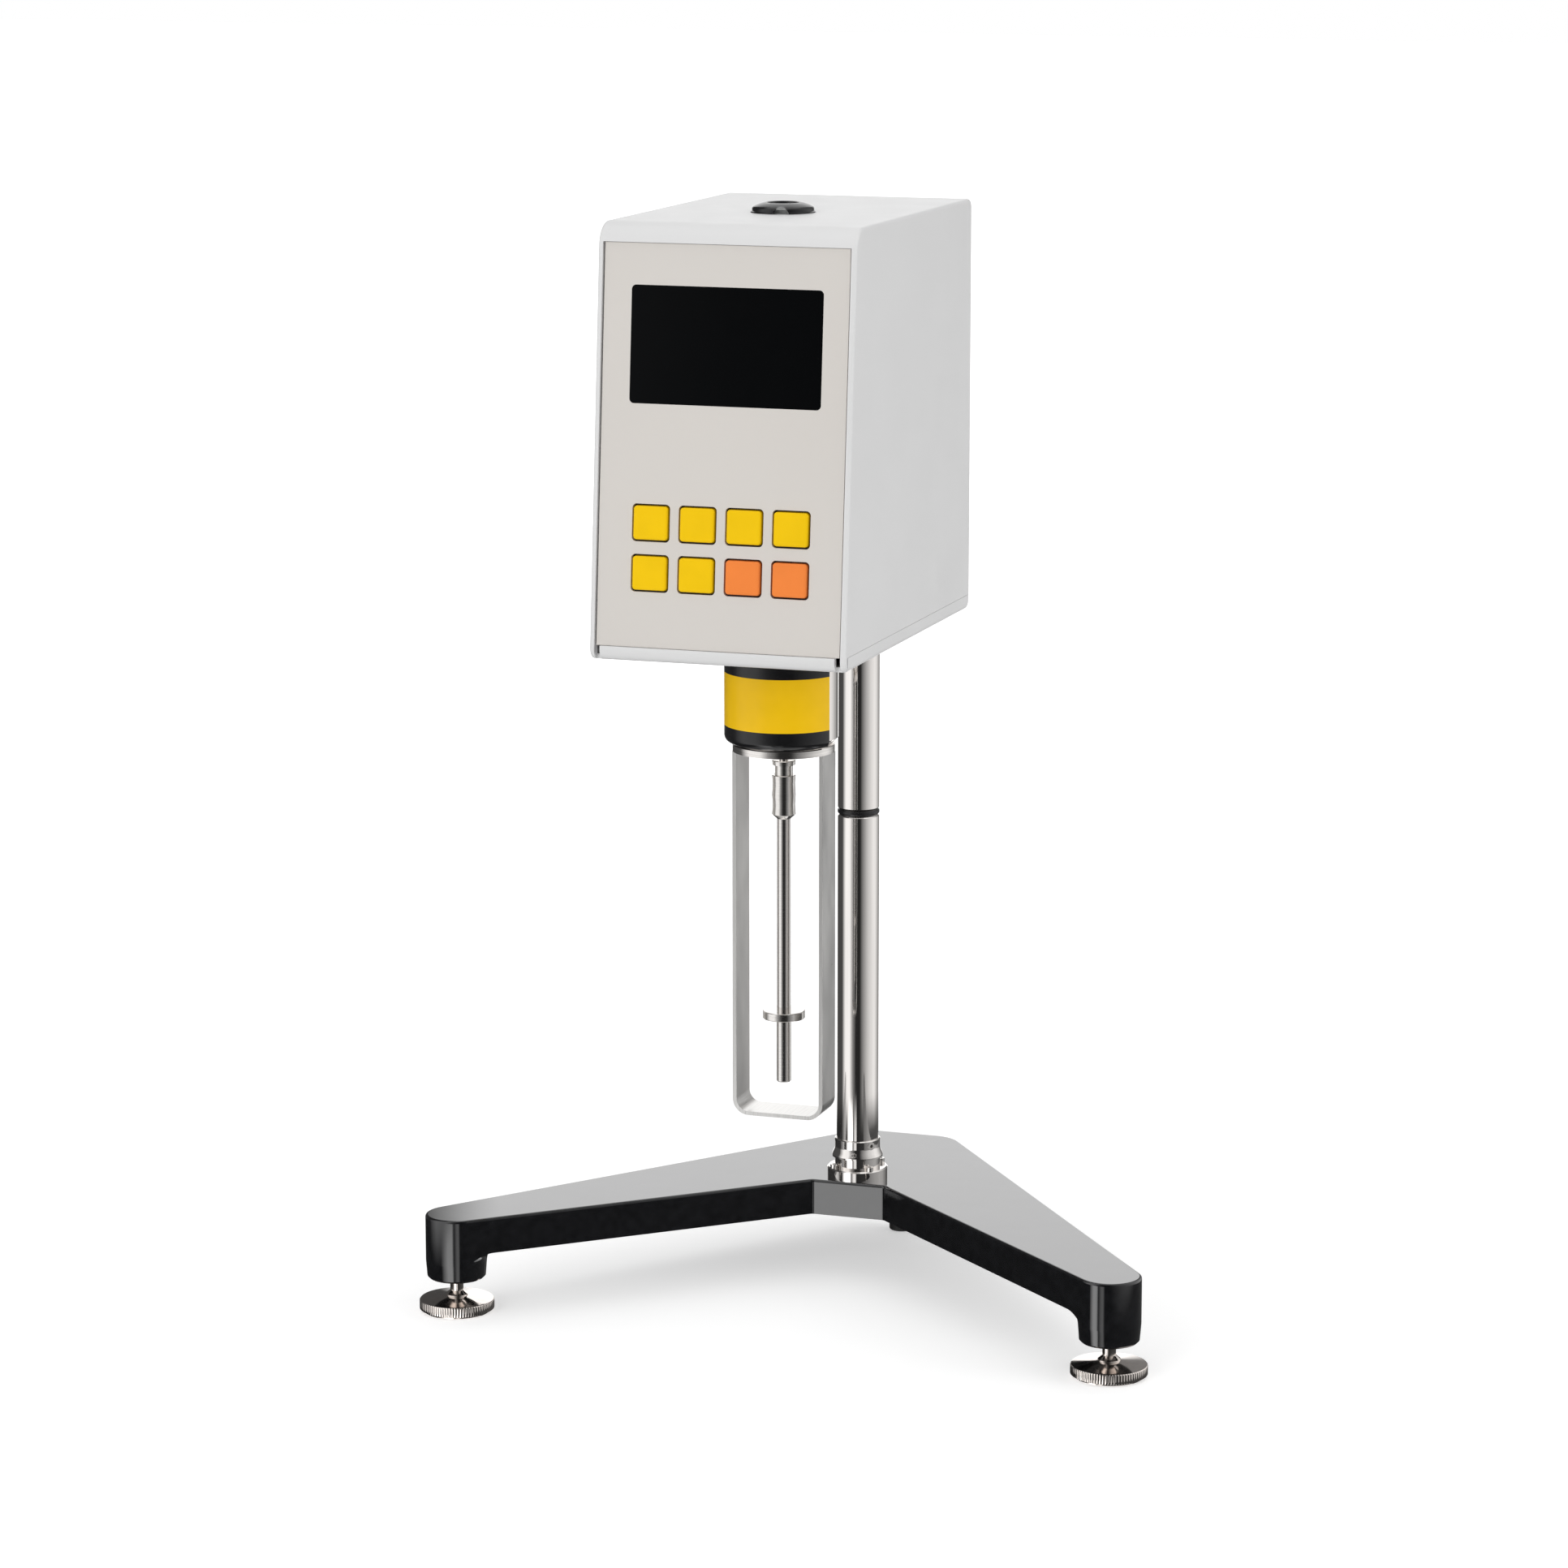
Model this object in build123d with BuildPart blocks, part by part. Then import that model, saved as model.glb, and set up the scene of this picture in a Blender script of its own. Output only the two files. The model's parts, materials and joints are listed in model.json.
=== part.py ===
from build123d import *
from math import asin, atan2, cos, hypot, pi, radians, sin
import os

os.makedirs("parts", exist_ok=True)

# Millimetres. X is to the right seen from the front, the front faces -Y and Z is up from the table.
# The stand is symmetric about X = 0. The column and the spindle are the two upright axes.

# Clearances
slip_fit = 0.05
body_gap = 0.3
sheet_gap = 0.15

# The two upright axes
column_y = 61.5
spindle_y = -50.0

# Base casting
base_top = 47.0
base_thickness = 17.0
base_rear_y = 142.6
base_rear_half_width = 23.5
base_rear_rounding = 16.0
base_notch_y = 46.5
base_notch_half_width = 18.0
base_notch_rounding = 3.0
base_edge_rounding = 1.2
casting_skirt = 5.0
casting_web = 5.0
casting_rib = 3.0
cross_rib_distances = (60.0, 105.0, 150.0)
hub_radius = 24.0
boss_radius = 14.3
boss_draft = 0.6
boss_bottom = 16.5
boss_rounding = 5.0
rear_boss_radius = 7.0
rear_boss_y = 134.0

# Levelling feet and rear foot
foot_x = 157.8
foot_y = -61.3
foot_disc_radius = 17.5
foot_disc_height = 7.4
foot_rim_height = 4.6
foot_step_height = 1.2
foot_step_depth = 2.0
foot_neck_radius = 3.1
foot_collar_radius = 5.2
foot_stem_top = 38.0
foot_cone_height = 1.6
foot_lip_height = 1.0
foot_hole_end = 1.0
rear_foot_radius = 6.0
rear_foot_height = 9.0
rear_foot_plug_radius = 3.0
rear_foot_plug_height = 8.0

# Column
column_radius = 10.0
column_wall = 2.5
column_seat_depth = 7.0
column_joint_z = 224.3
column_ring_height = 2.6
column_below_head_top = 17.0
column_chamfer = 0.8
column_cap_height = 2.0
column_plug_length = 7.0
spigot_reach = 30.0
keyway_width = 4.0
keyway_depth = 1.2
keyway_length = 215.0

# Flange that holds the column on the base
flange_radius = 14.5
flange_height = 5.0
flange_neck_radius = 10.9
flange_skirt_radius = 12.2
flange_skirt_height = 10.0
flange_shoulder_height = 15.0
flange_total_height = 19.0
flange_bolt_radius = 12.75
flange_screw_head_radius = 1.7
flange_screw_head_height = 1.9
flange_screw_radius = 1.0
flange_screw_length = 9.0
set_screw_radius = 1.9
set_screw_height = 16.4
set_screw_angle = -35.0

# Head housing
head_width = 117.0
head_bottom = 328.0
head_height = 189.0
head_depth = 189.0
head_rear_y = 46.0
head_lean = 16.0
front_top_rounding = 11.0
front_bottom_rounding = 5.0
rear_rounding = 4.0
cover_wall = 2.3
cover_edge_rounding = 1.6
cover_lip_height = 8.3
cover_strip_depth = 3.5
tray_wall = 2.3
tray_rim_height = 6.5
tray_edge_rounding = 2.2
tray_front_gap = 1.0

# Front panel with display and keys
panel_recess = 1.2
panel_thickness = 2.0
panel_side_gap = 0.7
panel_flange_depth = 9.0
panel_flange_thickness = 1.5
display_x = 0.6
display_below_lip = 43.6
display_width = 87.0
display_height = 51.0
display_rounding = 2.0
lens_thickness = 1.9
module_border = 5.0
module_depth = 7.0
key_width = 15.6
key_height = 14.7
key_rounding = 1.5
key_edge = 1.0
key_proud = 1.2
key_outline = 0.85
key_pitch_x = 21.3
key_pitch_s = 21.8
key_block_x = 0.3
key_block_s = 50.0
key_flange = 1.2
key_flange_thickness = 0.8
key_travel = 0.8
key_frame_thickness = 1.5
key_frame_margin = 7.0
key_frame_wall = 2.0
keypad_board_thickness = 1.6
switch_dome_radius = 3.0
switch_dome_height = 1.2

# Bubble level on the top
level_x = 1.0
level_y = -54.0
level_radius = 13.6
level_foot = 0.9
level_foot_height = 0.8
level_height = 4.4
level_eye_radius = 6.6
level_notch_radius = 3.4
level_notch_turn = 16.0
level_vial_height = 1.6

# Rear panel with its connectors
connector_x = 33.0
inlet_rise = 24.0
inlet_width = 27.0
inlet_height = 20.0
inlet_depth = 21.0
inlet_lip = 2.5
inlet_lip_thickness = 2.0
inlet_wall = 1.6
inlet_floor = 4.0
inlet_pin_width = 2.0
inlet_pin_height = 4.0
inlet_pin_pitch = 7.0
inlet_pin_shift = 2.0
inlet_pin_recess = 1.0
inlet_chamfer = 3.5
rocker_rise = 58.0
rocker_width = 11.0
rocker_half_height = 8.2
rocker_crest = 5.9
rocker_ends = 7.2
rocker_root = 4.0
rocker_tilt = 8.0
rocker_pivot_depth = 4.6
rocker_pin_radius = 1.2
rocker_swing_room = 1.3
rocker_frame_lip = 1.2
rocker_frame_thickness = 1.6
rocker_frame_depth = 14.0
rocker_frame_wall = 1.4
port_rise = 24.0
port_width = 31.0
port_height = 12.6
port_plate = 1.0
port_shell_width = 17.4
port_shell_height = 8.6
port_shell_length = 5.8
port_depth = 9.0
port_shell_wall = 0.6
port_corner = 2.0
port_pin_radius = 0.5
port_pin_pitch = 2.7
port_pin_row = 1.3
port_pin_recess = 1.0

# Chassis inside the head
chassis_front_y = 6.0
chassis_floor_half_width = 42.0
chassis_mast_half_width = 19.0
chassis_sheet = 2.5
chassis_headroom = 17.0
gusset_length = 22.0
gusset_height = 26.0
post_x = 36.0
post_front_y = -84.0
post_rear_y = -2.0
post_radius = 3.2
motor_plate_rise = 46.0
motor_plate_thickness = 3.0
motor_plate_margin = 6.0
board_width = 88.0
board_rise = 76.0
board_height = 82.0
board_thickness = 1.6
board_spacer = 8.0
board_hole_x = 18.0
board_hole_inset = 8.0
chip_sizes = ((-22.0, 54.0, 26.0, 16.0, 3.0), (20.0, 58.0, 18.0, 18.0, 2.4), (8.0, 22.0, 40.0, 9.0, 6.0))
supply_x = 0.0
supply_width = 66.0
supply_depth = 26.0
supply_height = 30.0
supply_front_gap = 21.0
supply_slot_pitch = 6.0
supply_slot_width = 2.4
supply_slot_depth = 1.5

# Drive of the spindle
gear_pitch_diameter = 48.0
gear_teeth = 60
pinion_teeth = 20
gear_rise = 37.0
gear_thickness = 4.0
gear_hub_radius = 9.0
gear_journal_radius = 4.0
gear_collar_radius = 6.0
gear_collar_thickness = 2.0
bearing_radius = 7.0
bearing_height = 5.0
bearing_drop = 1.0
motor_radius = 18.0
motor_height = 32.0
motor_spigot_radius = 5.0
motor_shaft_radius = 1.5
shaft_radius = 2.0
shaft_tip_radius = 1.5
shaft_tip_length = 4.0
vane_rise = 13.0
vane_radius = 22.0
vane_thickness = 0.8
vane_slots = 24
vane_hub_radius = 5.0
vane_hub_height = 5.0
spring_rise = 28.0
spring_height = 3.0
spring_band = 0.5
spring_inner_radius = 3.2
spring_pitch = 2.2
spring_turns = 4
sensor_width = 12.0
sensor_reach = 7.0
sensor_length = 12.0
sensor_lip = 4.5
sensor_gap = 0.9
jewel_radius = 5.0

# Pivot housing, its front cover and the guard
housing_radius = 24.7
housing_wall = 3.0
housing_drop = 49.0
housing_chamfer = 2.6
housing_web = 4.0
housing_flange_radius = 31.0
housing_flange_thickness = 3.0
collar_radius = 27.0
collar_half_angle = 67.5
collar_overhang = 0.2
collar_rounding = 3.4
band_rise = 8.3
band_height = 24.2
band_thickness = 0.7
guard_ring_radius = 23.3
guard_ring_height = 4.0
guard_ring_thickness = 3.4
guard_ring_hole = 13.0
guard_neck_radius = 20.0
guard_half_width = 21.5
guard_length = 169.0
guard_thickness = 1.8
guard_strap = 18.5
guard_rounding = 7.5

# Coupling and spindle
coupling_drop = 4.5
coupling_length = 27.0
coupling_collar_height = 2.5
coupling_neck_length = 4.3
coupling_taper_length = 1.9
coupling_shaft_depth = 8.5
coupling_radius = 5.4
coupling_neck_radius = 4.25
coupling_groove_rises = (6.4, 10.9, 16.5)
coupling_groove = 0.45
coupling_groove_width = 0.9
spindle_radius = 3.15
spindle_tail_radius = 3.35
spindle_length = 122.5
spindle_disc_rise = 29.8
spindle_disc_thickness = 3.7
spindle_disc_radius = 9.65
spindle_stub_radius = 2.4
spindle_stub_length = 10.0

# Clamp that holds the head on the column
clamp_half_width = 22.0
clamp_rise = 64.0
clamp_height = 50.0
clamp_wall = 9.0
clamp_rounding = 5.0
clamp_screw_x = 16.0
clamp_screw_z_pitch = 34.0
clamp_screw_radius = 2.0
clamp_screw_head_radius = 3.6
clamp_screw_head_height = 4.0
clamp_screw_depth = 12.0
clamp_screw_tip_room = 1.0
clamp_key_radius = 3.5
clamp_key_head = 2.0
clamp_stud_radius = 3.0
knob_radius = 14.0
knob_length = 16.0
knob_lobes = 6
knob_lobe_radius = 4.2
knob_neck_radius = 6.5
knob_neck_length = 5.0

# Heights and depths that follow from the sizes above
base_bottom = base_top - base_thickness
column_foot_z = base_top - column_seat_depth
upper_column_z = column_joint_z + column_ring_height
column_bore = column_radius - column_wall
head_top = head_bottom + head_height
head_front_y = head_rear_y - head_depth
column_top = head_top - column_below_head_top
keyway_bottom = column_top - keyway_length
flange_skirt_z = base_top + flange_skirt_height
flange_shoulder_z = base_top + flange_shoulder_height
flange_top = base_top + flange_total_height
set_screw_z = base_top + set_screw_height
cover_inside = head_width / 2 - cover_wall
tray_rim_z = head_bottom + tray_rim_height
tray_floor_z = head_bottom + tray_wall
front_length = hypot(head_height, head_lean)
panel_top = front_length - cover_lip_height
panel_bottom = tray_rim_height + 2 * sheet_gap
display_s = panel_top - display_below_lip
panel_width = 2 * (cover_inside - panel_side_gap)
panel_back = panel_recess + panel_thickness
panel_inside_y = head_rear_y - cover_wall
chassis_floor_z = tray_floor_z + chassis_sheet
inlet_z = head_bottom + inlet_rise
rocker_z = head_bottom + rocker_rise
port_z = head_bottom + port_rise
chassis_top = head_top - chassis_headroom
motor_plate_z = head_bottom + motor_plate_rise
board_bottom = head_bottom + board_rise
supply_front_y = head_front_y + supply_front_gap
gear_module = gear_pitch_diameter / gear_teeth
gear_z = head_bottom + gear_rise
vane_z = head_bottom + vane_rise
spring_z = head_bottom + spring_rise
motor_y = spindle_y + gear_module * (gear_teeth + pinion_teeth) / 2
bearing_z = motor_plate_z - bearing_drop
bearing_top = bearing_z + bearing_height
shaft_top = gear_z + shaft_tip_length
key_flange_front = panel_back + key_frame_thickness + body_gap
key_flange_back = key_flange_front + key_flange_thickness
keypad_board_front = key_flange_back + key_travel + body_gap + switch_dome_height
housing_bottom = head_bottom - housing_drop
collar_bottom = housing_bottom - collar_overhang
band_bottom = housing_bottom + band_rise
band_top = band_bottom + band_height
guard_ring_bottom = housing_bottom - guard_ring_height
guard_bottom = guard_ring_bottom - guard_length
coupling_top = guard_ring_bottom - coupling_drop
coupling_bottom = coupling_top - coupling_length
coupling_collar_z = coupling_top - coupling_collar_height
coupling_nut_top = coupling_collar_z - coupling_neck_length
coupling_nut_bottom = coupling_bottom + coupling_taper_length
coupling_shaft_z = coupling_top - coupling_shaft_depth
spindle_bottom = coupling_bottom - spindle_length
spindle_disc_bottom = spindle_bottom + spindle_disc_rise
clamp_bottom = head_bottom + clamp_rise
clamp_rear_y = column_y + column_radius + clamp_wall
clamp_middle_z = clamp_bottom + clamp_height / 2

front = Plane(
    origin=(0, head_front_y, head_bottom),
    x_dir=(1, 0, 0),
    z_dir=(0, -head_height, head_lean),
)
rear = Plane(origin=(0, head_rear_y, 0), x_dir=(-1, 0, 0), z_dir=(0, 1, 0))
key_places = [
    (key_block_x + (column - 1.5) * key_pitch_x, key_block_s + (0.5 - row) * key_pitch_s)
    for row in range(2)
    for column in range(4)
]
pieces = {}


def keep(name, part):
    """Label a finished piece and write its file."""
    part.label = name
    export_step(part, f"parts/{name}.step")
    pieces[name] = part


def axial_plane(x, y, angle=0.0):
    """Plane of the points (radius, height) beside the upright axis at x, y."""
    turn = radians(angle)
    return Plane(origin=(x, y, 0), x_dir=(cos(turn), sin(turn), 0), z_dir=(sin(turn), -cos(turn), 0))


def upright(x, y):
    """Upright axis at x, y."""
    return Axis((x, y, 0), (0, 0, 1))


def boss_touch(corner_x, corner_y, side):
    """Point where a line from a corner touches the end boss, outside (1) or inside (-1)."""
    length = hypot(foot_x - corner_x, foot_y - corner_y)
    angle = atan2(foot_y - corner_y, foot_x - corner_x) + side * asin(boss_radius / length)
    reach = (length**2 - boss_radius**2) ** 0.5
    return corner_x + reach * cos(angle), corner_y + reach * sin(angle)


# Base casting: two arms, each tangent to its end boss, over a ribbed underside
with BuildSketch(Plane.XY.offset(base_bottom)) as base_outline:
    with BuildLine():
        Polyline(
            (0, base_rear_y),
            (base_rear_half_width, base_rear_y),
            boss_touch(base_rear_half_width, base_rear_y, 1),
            (foot_x, foot_y),
            boss_touch(base_notch_half_width, base_notch_y, -1),
            (base_notch_half_width, base_notch_y),
            (0, base_notch_y),
            close=True,
        )
    make_face()
    mirror(about=Plane.YZ)
    with Locations((foot_x, foot_y), (-foot_x, foot_y)):
        Circle(boss_radius)
    fillet(base_outline.vertices().group_by(Axis.Y)[-1], base_rear_rounding)
    notch_corners = base_outline.vertices().filter_by_position(Axis.Y, base_notch_y - 0.1, base_notch_y + 0.1)
    fillet(notch_corners, base_notch_rounding)

arm_length = hypot(foot_x, column_y - foot_y)
arm_angle = atan2(foot_y - column_y, foot_x)

with BuildPart() as end_bosses:
    for side in (1, -1):
        with BuildSketch(axial_plane(side * foot_x, foot_y)):
            with BuildLine():
                Polyline(
                    (0, base_bottom),
                    (0, boss_bottom),
                    (boss_radius - boss_draft - 1.0, boss_bottom),
                    (boss_radius - boss_draft, boss_bottom + 1.0),
                    (boss_radius, base_bottom - boss_rounding),
                )
                RadiusArc(
                    (boss_radius, base_bottom - boss_rounding),
                    (boss_radius + boss_rounding, base_bottom),
                    boss_rounding,
                )
                Line((boss_radius + boss_rounding, base_bottom), (0, base_bottom))
            make_face()
        revolve(axis=upright(side * foot_x, foot_y))
    extrude(base_outline.sketch, amount=-base_thickness, mode=Mode.INTERSECT)

with BuildPart() as base_casting:
    extrude(base_outline.sketch, amount=base_thickness)
    fillet(base_casting.edges().group_by(Axis.Z)[-1], base_edge_rounding)
    add(end_bosses.part)
    with BuildSketch(Plane.XY.offset(base_bottom)):
        offset(base_outline.sketch_local, amount=-casting_skirt)
        with Locations((foot_x, foot_y), (-foot_x, foot_y)):
            Circle(boss_radius + boss_rounding, mode=Mode.SUBTRACT)
        with Locations((0, column_y)):
            Circle(hub_radius, mode=Mode.SUBTRACT)
        with Locations((0, rear_boss_y)):
            Circle(rear_boss_radius, mode=Mode.SUBTRACT)
        with Locations((0, (column_y + rear_boss_y) / 2)):
            Rectangle(casting_rib, rear_boss_y - column_y, mode=Mode.SUBTRACT)
        for side in (1, -1):
            turn = arm_angle if side > 0 else pi - arm_angle
            middle = (side * foot_x / 2, (column_y + foot_y) / 2)
            with Locations(Location((*middle, 0), (0, 0, turn * 180 / pi))):
                Rectangle(arm_length, casting_rib, mode=Mode.SUBTRACT)
            for distance in cross_rib_distances:
                share = distance / arm_length
                place = (side * foot_x * share, column_y + (foot_y - column_y) * share)
                with Locations(Location((*place, 0), (0, 0, turn * 180 / pi))):
                    Rectangle(casting_rib, 4 * hub_radius, mode=Mode.SUBTRACT)
    extrude(amount=base_thickness - casting_web, mode=Mode.SUBTRACT)
    with BuildSketch(Plane.XY.offset(rear_foot_height)):
        with Locations((0, rear_boss_y)):
            Circle(rear_boss_radius)
    extrude(amount=base_bottom - rear_foot_height)
    with Locations((0, rear_boss_y, rear_foot_height)):
        Cylinder(
            rear_foot_plug_radius + slip_fit,
            rear_foot_plug_height + slip_fit,
            align=(Align.CENTER, Align.CENTER, Align.MIN),
            mode=Mode.SUBTRACT,
        )
    with Locations((foot_x, foot_y, boss_bottom), (-foot_x, foot_y, boss_bottom)):
        Cylinder(
            foot_neck_radius + slip_fit,
            foot_stem_top + foot_hole_end - boss_bottom,
            align=(Align.CENTER, Align.CENTER, Align.MIN),
            mode=Mode.SUBTRACT,
        )
    with Locations((0, column_y, base_top)):
        Cylinder(
            column_radius + slip_fit,
            column_seat_depth,
            align=(Align.CENTER, Align.CENTER, Align.MAX),
            mode=Mode.SUBTRACT,
        )
        with PolarLocations(flange_bolt_radius, 4, start_angle=45):
            Cylinder(
                flange_screw_radius + slip_fit,
                flange_screw_length - flange_height + slip_fit,
                align=(Align.CENTER, Align.CENTER, Align.MAX),
                mode=Mode.SUBTRACT,
            )
keep("base_casting", base_casting.part)

with BuildPart() as rear_foot:
    with Locations((0, rear_boss_y, 0)):
        Cylinder(rear_foot_radius, rear_foot_height, align=(Align.CENTER, Align.CENTER, Align.MIN))
    fillet(rear_foot.edges().group_by(Axis.Z)[0], 1.0)
    with Locations((0, rear_boss_y, rear_foot_height)):
        Cylinder(
            rear_foot_plug_radius,
            rear_foot_plug_height,
            align=(Align.CENTER, Align.CENTER, Align.MIN),
        )
keep("rear_foot", rear_foot.part)

# Levelling feet: one turned piece each, a disc with a collar, a waist and a threaded stem
foot_rim_z = foot_step_height + foot_rim_height
foot_nut_top = boss_bottom - body_gap
for name, side in (("left_foot", -1), ("right_foot", 1)):
    with BuildPart() as foot:
        with BuildSketch(axial_plane(side * foot_x, foot_y)):
            with BuildLine():
                Polyline(
                    (0, 0),
                    (foot_disc_radius - foot_step_depth, 0),
                    (foot_disc_radius - foot_step_depth, foot_step_height),
                    (foot_disc_radius, foot_step_height),
                    (foot_disc_radius, foot_rim_z),
                    (foot_disc_radius - 0.8, foot_rim_z + 0.4),
                    (foot_collar_radius, foot_disc_height),
                    (foot_collar_radius, foot_disc_height + foot_lip_height),
                    (foot_neck_radius, foot_disc_height + foot_lip_height + foot_cone_height),
                    (foot_neck_radius, foot_nut_top - foot_lip_height - foot_cone_height),
                    (foot_collar_radius, foot_nut_top - foot_lip_height),
                    (foot_collar_radius, foot_nut_top),
                    (foot_neck_radius, foot_nut_top),
                    (foot_neck_radius, foot_stem_top),
                    (0, foot_stem_top),
                    close=True,
                )
            make_face()
        revolve(axis=upright(side * foot_x, foot_y))
    keep(name, foot.part)

# Column: flange, two tubes joined by a spigot, and the rubber ring between them
set_screw_turn = radians(set_screw_angle)
set_screw_plane = Plane(
    origin=(
        (column_radius + slip_fit) * cos(set_screw_turn),
        column_y + (column_radius + slip_fit) * sin(set_screw_turn),
        set_screw_z,
    ),
    z_dir=(cos(set_screw_turn), sin(set_screw_turn), 0),
)
with BuildPart() as column_flange:
    with BuildSketch(axial_plane(0, column_y)):
        with BuildLine():
            Polyline(
                (column_radius + slip_fit, base_top),
                (flange_radius, base_top),
                (flange_radius, base_top + flange_height - 0.6),
                (flange_radius - 0.6, base_top + flange_height),
                (flange_neck_radius, base_top + flange_height),
                (flange_neck_radius, flange_skirt_z),
                (flange_skirt_radius, flange_skirt_z),
                (flange_skirt_radius, flange_skirt_z + 0.8),
            )
            Spline(
                (flange_skirt_radius, flange_skirt_z + 0.8),
                (flange_neck_radius, flange_shoulder_z),
                tangents=((-0.2, 1), (0, 1)),
            )
            Polyline(
                (flange_neck_radius, flange_shoulder_z),
                (flange_neck_radius, flange_top - 0.4),
                (flange_neck_radius - 0.4, flange_top),
                (column_radius + slip_fit, flange_top),
                (column_radius + slip_fit, base_top),
            )
        make_face()
    revolve(axis=upright(0, column_y))
    with Locations((0, column_y, base_top + flange_height)):
        with PolarLocations(flange_bolt_radius, 4, start_angle=45):
            Hole(flange_screw_radius + slip_fit, flange_height)
    with BuildSketch(set_screw_plane):
        Circle(set_screw_radius)
    extrude(amount=column_wall, mode=Mode.SUBTRACT)
keep("column_flange", column_flange.part)

with BuildPart() as column_set_screw:
    with BuildSketch(set_screw_plane):
        Circle(set_screw_radius)
        RegularPolygon(set_screw_radius * 0.5, 6, mode=Mode.SUBTRACT)
    extrude(amount=flange_neck_radius - column_radius)
keep("column_set_screw", column_set_screw.part)

with BuildPart() as flange_screws:
    with Locations((0, column_y, base_top + flange_height)):
        with PolarLocations(flange_bolt_radius, 4, start_angle=45):
            Cylinder(
                flange_screw_head_radius,
                flange_screw_head_height,
                align=(Align.CENTER, Align.CENTER, Align.MIN),
            )
            Cylinder(
                flange_screw_radius,
                flange_screw_length,
                align=(Align.CENTER, Align.CENTER, Align.MAX),
            )
    sockets = flange_screws.faces().group_by(Axis.Z)[-1]
    for socket in sockets:
        with BuildSketch(Plane(socket.center(), z_dir=(0, 0, 1))):
            RegularPolygon(flange_screw_head_radius * 0.5, 6)
        extrude(amount=-flange_screw_head_height * 0.6, mode=Mode.SUBTRACT)
keep("flange_screws", flange_screws.part)

with BuildPart() as lower_column:
    with BuildSketch(Plane.XY.offset(column_foot_z)):
        with Locations((0, column_y)):
            Circle(column_radius)
            Circle(column_bore, mode=Mode.SUBTRACT)
    extrude(amount=column_joint_z - column_foot_z)
    chamfer(lower_column.edges().group_by(Axis.Z)[-1].sort_by(SortBy.RADIUS)[-1], column_chamfer)
keep("lower_column", lower_column.part)

with BuildPart() as upper_column:
    with BuildSketch(Plane.XY.offset(upper_column_z)):
        with Locations((0, column_y)):
            Circle(column_radius)
            Circle(column_bore, mode=Mode.SUBTRACT)
    extrude(amount=column_top - upper_column_z)
    chamfer(upper_column.edges().group_by(Axis.Z)[0].sort_by(SortBy.RADIUS)[-1], column_chamfer)
    with BuildSketch(Plane.XY.offset(keyway_bottom)):
        with Locations((0, column_y + column_radius)):
            Rectangle(keyway_width, 2 * keyway_depth)
    extrude(amount=column_top - keyway_bottom, mode=Mode.SUBTRACT)
keep("upper_column", upper_column.part)

with BuildPart() as column_spigot:
    with BuildSketch(Plane.XY.offset(column_joint_z - spigot_reach)):
        with Locations((0, column_y)):
            Circle(column_bore - slip_fit)
    extrude(amount=2 * spigot_reach + column_ring_height)
    chamfer(column_spigot.edges().filter_by(GeomType.CIRCLE), 1.0)
keep("column_spigot", column_spigot.part)

with BuildPart() as column_ring:
    with BuildSketch(Plane.XY.offset(column_joint_z)):
        with Locations((0, column_y)):
            Circle(column_radius)
            Circle(column_bore, mode=Mode.SUBTRACT)
    extrude(amount=column_ring_height)
    outer_edges = column_ring.edges().filter_by(GeomType.CIRCLE)
    fillet(outer_edges.filter_by(lambda edge: edge.radius > column_bore + 1), column_ring_height * 0.4)
keep("column_ring", column_ring.part)

with BuildPart() as column_cap:
    with Locations((0, column_y, column_top)):
        Cylinder(column_radius, column_cap_height, align=(Align.CENTER, Align.CENTER, Align.MIN))
        Cylinder(
            column_bore - slip_fit,
            column_plug_length,
            align=(Align.CENTER, Align.CENTER, Align.MAX),
        )
    fillet(column_cap.edges().group_by(Axis.Z)[-1], column_cap_height * 0.6)
keep("column_cap", column_cap.part)

# Head: the side view that the cover and the tray share
with BuildSketch(Plane.YZ) as head_profile:
    with BuildLine():
        Polyline(
            (head_front_y, head_bottom),
            (head_front_y + head_lean, head_top),
            (head_rear_y, head_top),
            (head_rear_y, head_bottom),
            close=True,
        )
    make_face()
    fillet(head_profile.vertices().group_by(Axis.X)[-1], rear_rounding)
    fillet(head_profile.vertices().sort_by(Axis.X)[0], front_bottom_rounding)
    fillet(head_profile.vertices().group_by(Axis.Y)[-1].sort_by(Axis.X)[0], front_top_rounding)

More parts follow.
